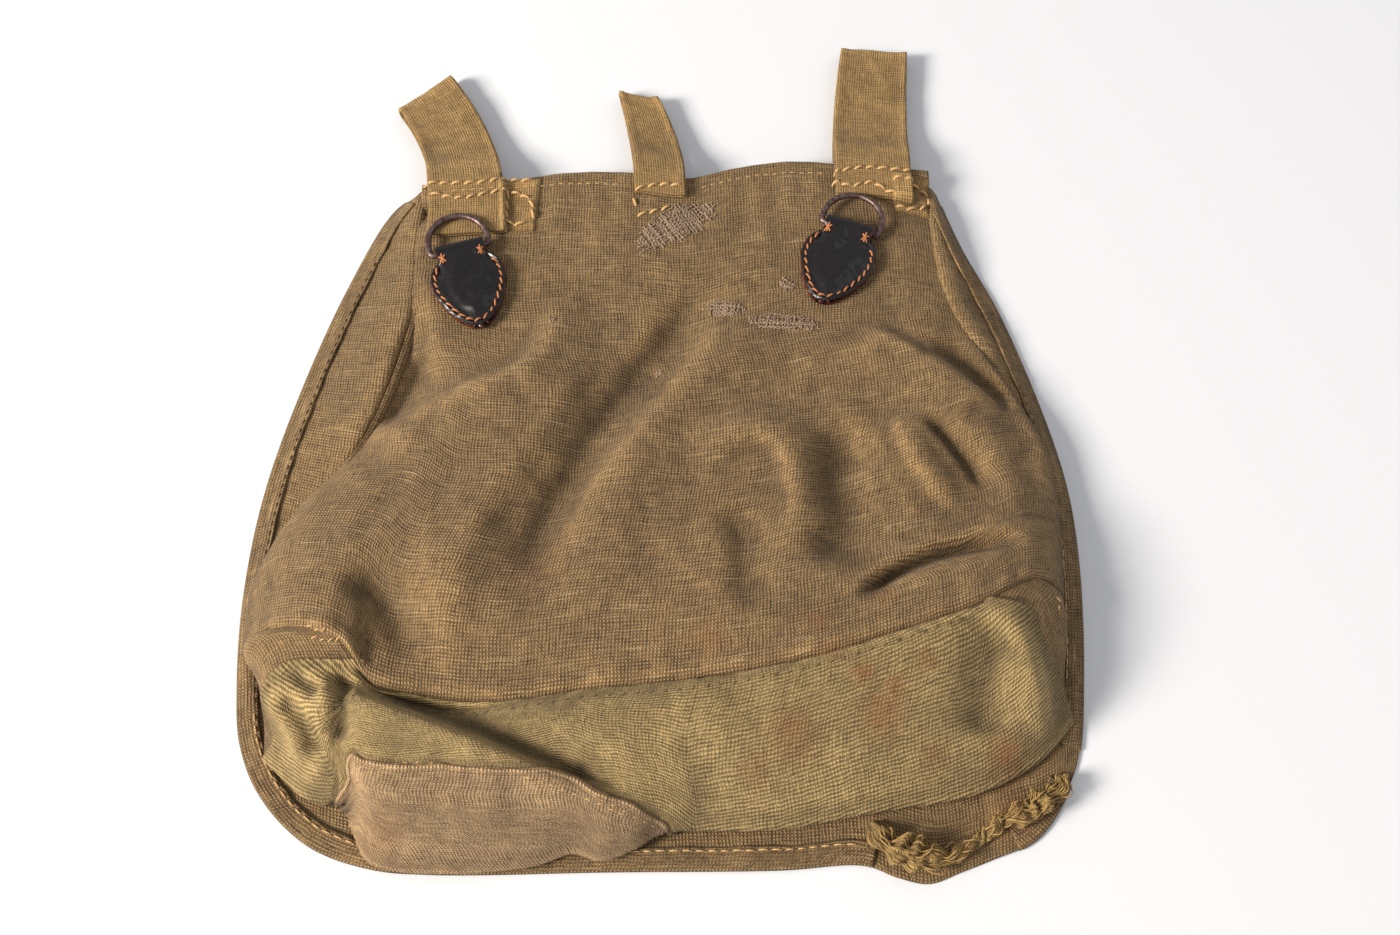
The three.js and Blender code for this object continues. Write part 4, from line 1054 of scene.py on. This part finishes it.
def d_ring(side, tab):
    """A ring of round wire: a straight side that turns in the tab's fold, and a bow."""
    half = (RING_WIDTH - RING_WIRE) / 2
    bend = np.linspace(0, np.pi / 2, 8)
    bow = np.linspace(0, np.pi, 48)
    flat_side = half - RING_CORNER
    right = np.stack([flat_side + RING_CORNER * np.sin(bend), RING_CORNER * (1 - np.cos(bend))], 1)
    top = np.stack([half * np.cos(bow), RING_SIDE + half * np.sin(bow)], 1)
    bar = np.stack([np.linspace(-flat_side, flat_side, 10)[1:-1], np.zeros(8)], 1)
    x, y = np.vstack([right, top, right[::-1] * [-1, 1], bar]).T
    lie = math.radians(RING_LIE)
    p = np.stack([x, y * math.cos(lie), FOLD_RADIUS + y * math.sin(lie)], 1)
    worn = 1 + 0.03 * np.sin(np.arange(len(p)) * 0.7)
    wire = [(metres(on_tab(tab, p)), worn)]
    body = side + "_ring"
    made = threads(side + "_d_ring", wire, RING_WIRE / 2, browned_steel, body, True, 7)
    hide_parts("ring_" + side)


for build in (ring_tab, tab_stitches, d_ring):
    build("left", LEFT_TAB)
    build("right", RIGHT_TAB)


# What is sewn on lies on top of the finished cloth, found by looking down on it from this height.
LOOK_DOWN = 90


def skin_of(pieces):
    """The pieces' cloth, ready to be looked down on."""
    points, faces = [], []
    for piece in pieces:
        faces += [[len(points) + i for i in face.vertices] for face in piece.data.polygons]
        points += [v.co / MM - Vector(SHIFT) for v in piece.data.vertices]
    return BVHTree.FromPolygons(points, faces)


def settle(points, lift, of):
    """Points of the bag's plane (millimetres), each laid on the highest cloth below it."""
    laid = []
    for x, y in points:
        hit = of.ray_cast(Vector((x, y, LOOK_DOWN)), Vector((0, 0, -1)))[0]
        laid.append((x, y, (hit.z if hit else CLOTH) + lift))
    return np.array(laid)


# The turned hem of the flap, torn away and bunched at two places
flap_skin = skin_of([flap_piece])
HEM_WIDTH = 9.3
hems = []
for name, start, end in (("hem_left", 0.008, 0.585), ("hem_tear", 0.648, 0.684), ("hem_right", 0.7, 0.992)):
    surface = hem_cloth(start, end, HEM_WIDTH)
    columns = int(900 * (end - start))
    hems.append(cloth(name, surface, columns, 12, flap_linen, thick=0.8))


def sewn_end(name, corners):
    """The other end of a loop's strip, laid on the back and sewn round."""
    first, second, third, fourth = np.array(place(corners))

    def surface(s, t):
        p = lerp(lerp(first, second, s[:, None]), lerp(fourth, third, s[:, None]), t[:, None])
        rim = np.minimum(np.minimum(s, 1 - s), np.minimum(t, 1 - t))
        p[:, 2] = settle(p[:, :2], 0.3 * CLOTH, under_skin)[:, 2] + 1.1 * CLOTH * smooth(rim / 0.12)
        p[:, 2] += 0.4 * wrinkle(p, 5, 91)
        return p
    return cloth(name, surface, 18, 22, loop_webbing, thick=0.9)


under_skin = skin_of([back, left_loop, right_loop])
left_end = sewn_end("left_loop_end", [(-0.475, 0.012), (-0.35, 0.014), (-0.362, 0.112), (-0.455, 0.116)])
right_end = sewn_end("right_loop_end", [(0.635, 0.008), (0.745, 0.016), (0.742, 0.082), (0.64, 0.076)])
skin = skin_of([
    back, flap_piece, bottom, front, left_side, right_side, left_loop, strap, right_loop,
    left_end, right_end, *hems,
])


def route(rows, step=1.5):
    """A smooth line through places given in shares, laid on the cloth."""
    line = Rail(place(rows))
    return settle(line.at(np.linspace(0, 1, max(int(line.length / step), 4)))[:, :2], CLOTH / 2, skin)


def sew(name, lines, length, gap, radius, thread, slant=0.0):
    runs = []
    for rows in lines:
        runs += stitch_runs(route(rows), length, gap, radius, slant=slant)
    return threads(name, runs, radius, thread)


sew("top_edge_stitches", [
    [(-0.6, 0.046), (-0.43, 0.037), (-0.26, 0.025), (-0.13, 0.026)],
    [(0.1, 0.033), (0.21, 0.016), (0.34, 0.006), (0.45, 0.008)],
], 2.8, 1.7, 0.25, pale_thread)
sew("left_loop_stitches", [
    [(-0.7, 0.03), (-0.6, 0.032), (-0.52, 0.03), (-0.45, 0.022), (-0.36, 0.024)],
    [(-0.66, 0.05), (-0.58, 0.058), (-0.5, 0.05), (-0.44, 0.044), (-0.38, 0.06), (-0.37, 0.1)],
    [(-0.445, 0.04), (-0.445, 0.075), (-0.435, 0.1), (-0.38, 0.102)],
], 5.0, 0.9, 0.72, pale_thread, slant=0.25)
sew("strap_stitches", [
    [(-0.085, 0.042), (-0.02, 0.034), (0.055, 0.036)],
    [(-0.09, 0.05), (-0.085, 0.078)],
    [(-0.08, 0.082), (-0.02, 0.074), (0.04, 0.06)],
], 5.0, 0.8, 0.75, pale_thread, slant=0.2)
sew("right_loop_stitches", [
    [(0.475, 0.01), (0.56, 0.002), (0.64, 0.006), (0.72, 0.01)],
    [(0.47, 0.028), (0.52, 0.036), (0.58, 0.03), (0.62, 0.046), (0.67, 0.052)],
    [(0.64, 0.024), (0.7, 0.028), (0.74, 0.044), (0.72, 0.066), (0.66, 0.07), (0.62, 0.058)],
], 5.0, 0.9, 0.72, pale_thread, slant=0.25)
sew("back_seam_stitches", [
    [(-0.7, 0.771), (-0.648, 0.812), (-0.516, 0.829), (-0.355, 0.835), (-0.131, 0.824), (0.055, 0.819),
     (0.322, 0.796), (0.512, 0.768), (0.72, 0.73)],
], 2.2, 3.4, 0.22, brown_thread, slant=0.5)
sew("front_seam_stitches", [
    [(-0.66, 0.9), (-0.52, 0.896), (-0.36, 0.905), (-0.2, 0.925), (-0.06, 0.95)],
    [(-0.1, 0.938), (-0.03, 0.952), (0.02, 0.958)],
], 2.6, 2.4, 0.26, pale_thread, slant=0.3)


def welt(name, points, width, height, finish, seed):
    """A seam's edge, turned under and rolled: a narrow half-round strip with small puckers."""
    line = Rail(points)

    def surface(s, t):
        run = s * line.length
        rough = 1 + 0.30 * noise_line(run / 7, seed) + 0.16 * noise_line(run / 2.2, seed + 3)
        p = line.at(s) + leftward(line.along(s)) * (width / 2 * np.cos(np.pi * t) * rough)[:, None]
        p[:, 2] += height * np.sin(np.pi * t) * rough * within(s, 0.02) - 0.4
        return p
    return cloth(name, surface, int(line.length / 1.3), 7, finish, thick=0.7)


lobe = np.linspace(0.104, 0.515, 40)
front_welt = welt("front_seam_edge", low_surface(lobe, front_seam(lobe)) + [0, 0.2, 0.5], 2.6, 1.5,
                  lit_front_linen, 4)
low_skin = skin_of([flap_piece, *hems])


# The hem's stitches run this far in from its edge, in millimetres.
HEM_SEAM = 7.4


def hem_route(start, end):
    u = np.linspace(start, end, int(700 * (end - start)))
    points = hem_line.at(u) + leftward(hem_line.along(u)) * HEM_SEAM
    return settle(points[:, :2], CLOTH / 2, low_skin)


for name, stretches, length, gap, radius, thread in (
    ("hem_stitches", ((0.29, 0.58), (0.73, 0.8)), 3.4, 1.6, 0.34, pale_thread),
    ("side_hem_stitches", ((0.05, 0.29), (0.8, 0.95)), 2.6, 2.2, 0.24, brown_thread),
):
    runs = []
    for start, end in stretches:
        runs += stitch_runs(hem_route(start, end), length, gap, radius)
    threads(name, runs, radius, thread)


def darn(name, centre, size, turn, pitch, seed, shape=2.2):
    """A hole filled by a needle: rough threads one way, woven over and under by others."""
    draw = random.Random(seed)
    x, y = in_bag(*centre)
    c, s = math.cos(math.radians(turn)), math.sin(math.radians(turn))
    runs = []
    for way, (long, wide) in enumerate((size, size[::-1])):
        for k in range(int(wide / pitch)):
            off = (k + 0.5) * pitch - wide / 2 + draw.uniform(-0.5, 0.5)
            reach = max(1 - abs(2 * off / wide) ** shape, 0) ** (1 / shape) * long / 2
            reach *= draw.uniform(0.55, 1.22)
            if reach < 1.5 or draw.random() < 0.1:
                continue
            along = np.arange(-reach, reach * draw.uniform(0.6, 1), 0.55)
            sway = off + along * draw.gauss(0, 0.06) + np.cumsum([draw.gauss(0, 0.1) for _ in along])
            thick = draw.uniform(0.8, 1.6)
            a, b = (along, sway) if way == 0 else (sway, along)
            over = np.cos(np.pi * (along / pitch + k + way)) * draw.uniform(0.25, 0.5)
            flat_points = np.stack([x + a * c - b * s, y + a * s + b * c], 1)
            laid = settle(flat_points, CLOTH / 2 + 0.3, skin)
            laid[:, 2] += over
            laid[[0, -1], 2] -= 0.5
            shares = [draw.uniform(0.7, 1) * thick for _ in along]
            runs.append((metres(laid), shares))
    return threads(name, runs, 0.34, darning_yarn)


darn("darn_below_strap", (0.03, 0.098), (44, 19), 32, 1.05, 4)
darn("darn_middle_left", (0.165, 0.242), (19, 9), -4, 1.05, 8)
darn("darn_middle_right", (0.325, 0.268), (38, 9), -8, 1.05, 9)
darn("darn_by_tab", (0.335, 0.205), (9, 6), -35, 1, 12)
darn("darn_small_left", (-0.296, 0.27), (4, 4), 20, 0.9, 15)
darn("darn_small_middle", (-0.012, 0.345), (6, 3.5), 30, 0.9, 17)

# The torn hem: its edge rolls up like a rope, thick in two bunches, with loose threads round it
TORN_EDGE = [
    (0.488, 0.945), (0.505, 0.965), (0.545, 0.982), (0.6, 0.99), (0.645, 0.985), (0.686, 0.972),
    (0.749, 0.957), (0.801, 0.943), (0.845, 0.936), (0.885, 0.918), (0.918, 0.89),
]
TORN_RADIUS = [
    (0, 2), (0.08, 4.4), (0.22, 5.6), (0.36, 3), (0.45, 2), (0.58, 1.9), (0.7, 3.6), (0.86, 4.2), (1, 1.8),
]
torn_line = Rail(place(TORN_EDGE))


def torn_roll(s, t, lift=0.0):
    """The rolled edge: s along it and t round it, in slanting ridges like a rope's strands."""
    angle = 2 * np.pi * t
    run = s * torn_line.length
    side = leftward(torn_line.along(s))
    strands = np.sin(2 * np.pi * run / 8 + 3 * angle + 4 * noise_line(run / 5, 71))
    lumps = noise_line(run / 4.3, 73)
    radius = table(TORN_RADIUS, s) * (1 + 0.15 * strands + 0.45 * lumps) + lift
    p = torn_line.at(s) + side * (2.4 * noise_line(run / 8, 75) + radius * np.cos(angle))[:, None]
    p[:, 2] = 1.6 + 0.85 * radius * (1 + np.sin(angle)) + 0.5 * wrinkle(p, 2.4, 77)
    return p


torn = cloth("torn_hem_roll", torn_roll, 260, 26, torn_linen, thick=0.5)


def loose_threads(name, start, end, count, reach, seed):
    """Threads of the torn hem that lie round its roll, each bowed a little off it."""
    draw = random.Random(seed)
    runs = []
    for _ in range(count):
        first = draw.uniform(start, end)
        u = np.linspace(0, 1, 12)
        s = np.clip(first + draw.uniform(0.5, 1.2) * reach * u / torn_line.length, 0, 1)
        t = draw.uniform(0, 0.45) + draw.uniform(-0.2, 0.2) * u + 0.02 * np.sin(draw.uniform(4, 9) * u)
        lift = 0.2 + draw.uniform(0, 1.6) ** 2 * np.sin(np.pi * u)
        runs.append((metres(torn_roll(s, t, lift)), np.linspace(1.1, 0.6, 12) * draw.uniform(0.7, 1.3)))
    return threads(name, runs, 0.3, frayed_yarn)


loose_threads("loose_threads_middle", 0.02, 0.36, 60, 12, 21)
loose_threads("loose_threads_between", 0.36, 0.66, 26, 6, 22)
loose_threads("loose_threads_right", 0.66, 0.98, 46, 10, 23)
sew("knot_stitches", [
    [(-0.8, 0.735), (-0.77, 0.742), (-0.74, 0.738)],
    [(-0.79, 0.748), (-0.76, 0.752), (-0.72, 0.75)],
    [(0.93, 0.69), (0.935, 0.7), (0.925, 0.712)],
], 2.6, 0.6, 0.4, pale_thread, slant=0.6)

# Camera: the photograph's own height and lens
AIM = Vector((0.01585, -0.03359, 0))
DISTANCE = 0.637
SLOPE = math.radians(62)
SENSOR = 36
FOCAL_SHARE = 1388 / 1400
lens = bpy.data.cameras.new("photo_camera")
lens.lens = SENSOR * FOCAL_SHARE
lens.sensor_width = SENSOR
camera = put("photo_camera", lens)
camera.location = AIM + DISTANCE * Vector((0, -math.cos(SLOPE), math.sin(SLOPE)))
camera.rotation_euler = (math.radians(90) - SLOPE, 0, 0)
bpy.context.scene.camera = camera

# A pale table, and the soft light of a studio window at the camera's left
table_top = put("table", grid_mesh("table", 1, 1, 3))
# Pale paper, smooth and matt: an even floor without shine
cover, _, dress_cover = new_material("pale_table")
dress_cover(Base_Color="#e3e4e7", Roughness=0.9)
table_top.data.materials.append(cover)


def soft_light(name, place_at, size, power, colour):
    lamp = bpy.data.lights.new(name, "AREA")
    lamp.size = size
    lamp.energy = power
    lamp.color = linear(colour)[:3]
    made = put(name, lamp)
    made.location = place_at
    made.rotation_euler = (-Vector(place_at)).to_track_quat("-Z", "Y").to_euler()


soft_light("window_light", (-2.7, -1.1, 1.7), 1.0, 192, "#fff9f0")
soft_light("fill_light", (1.1, 0.4, 1.6), 1.2, 3, "#f2f6ff")
world = bpy.data.worlds.new("studio")
world.use_nodes = True
world.node_tree.nodes["Background"].inputs[0].default_value = linear("#f4f4f6")
world.node_tree.nodes["Background"].inputs[1].default_value = 0.52
bpy.context.scene.world = world
bpy.context.scene.view_settings.view_transform = "Standard"
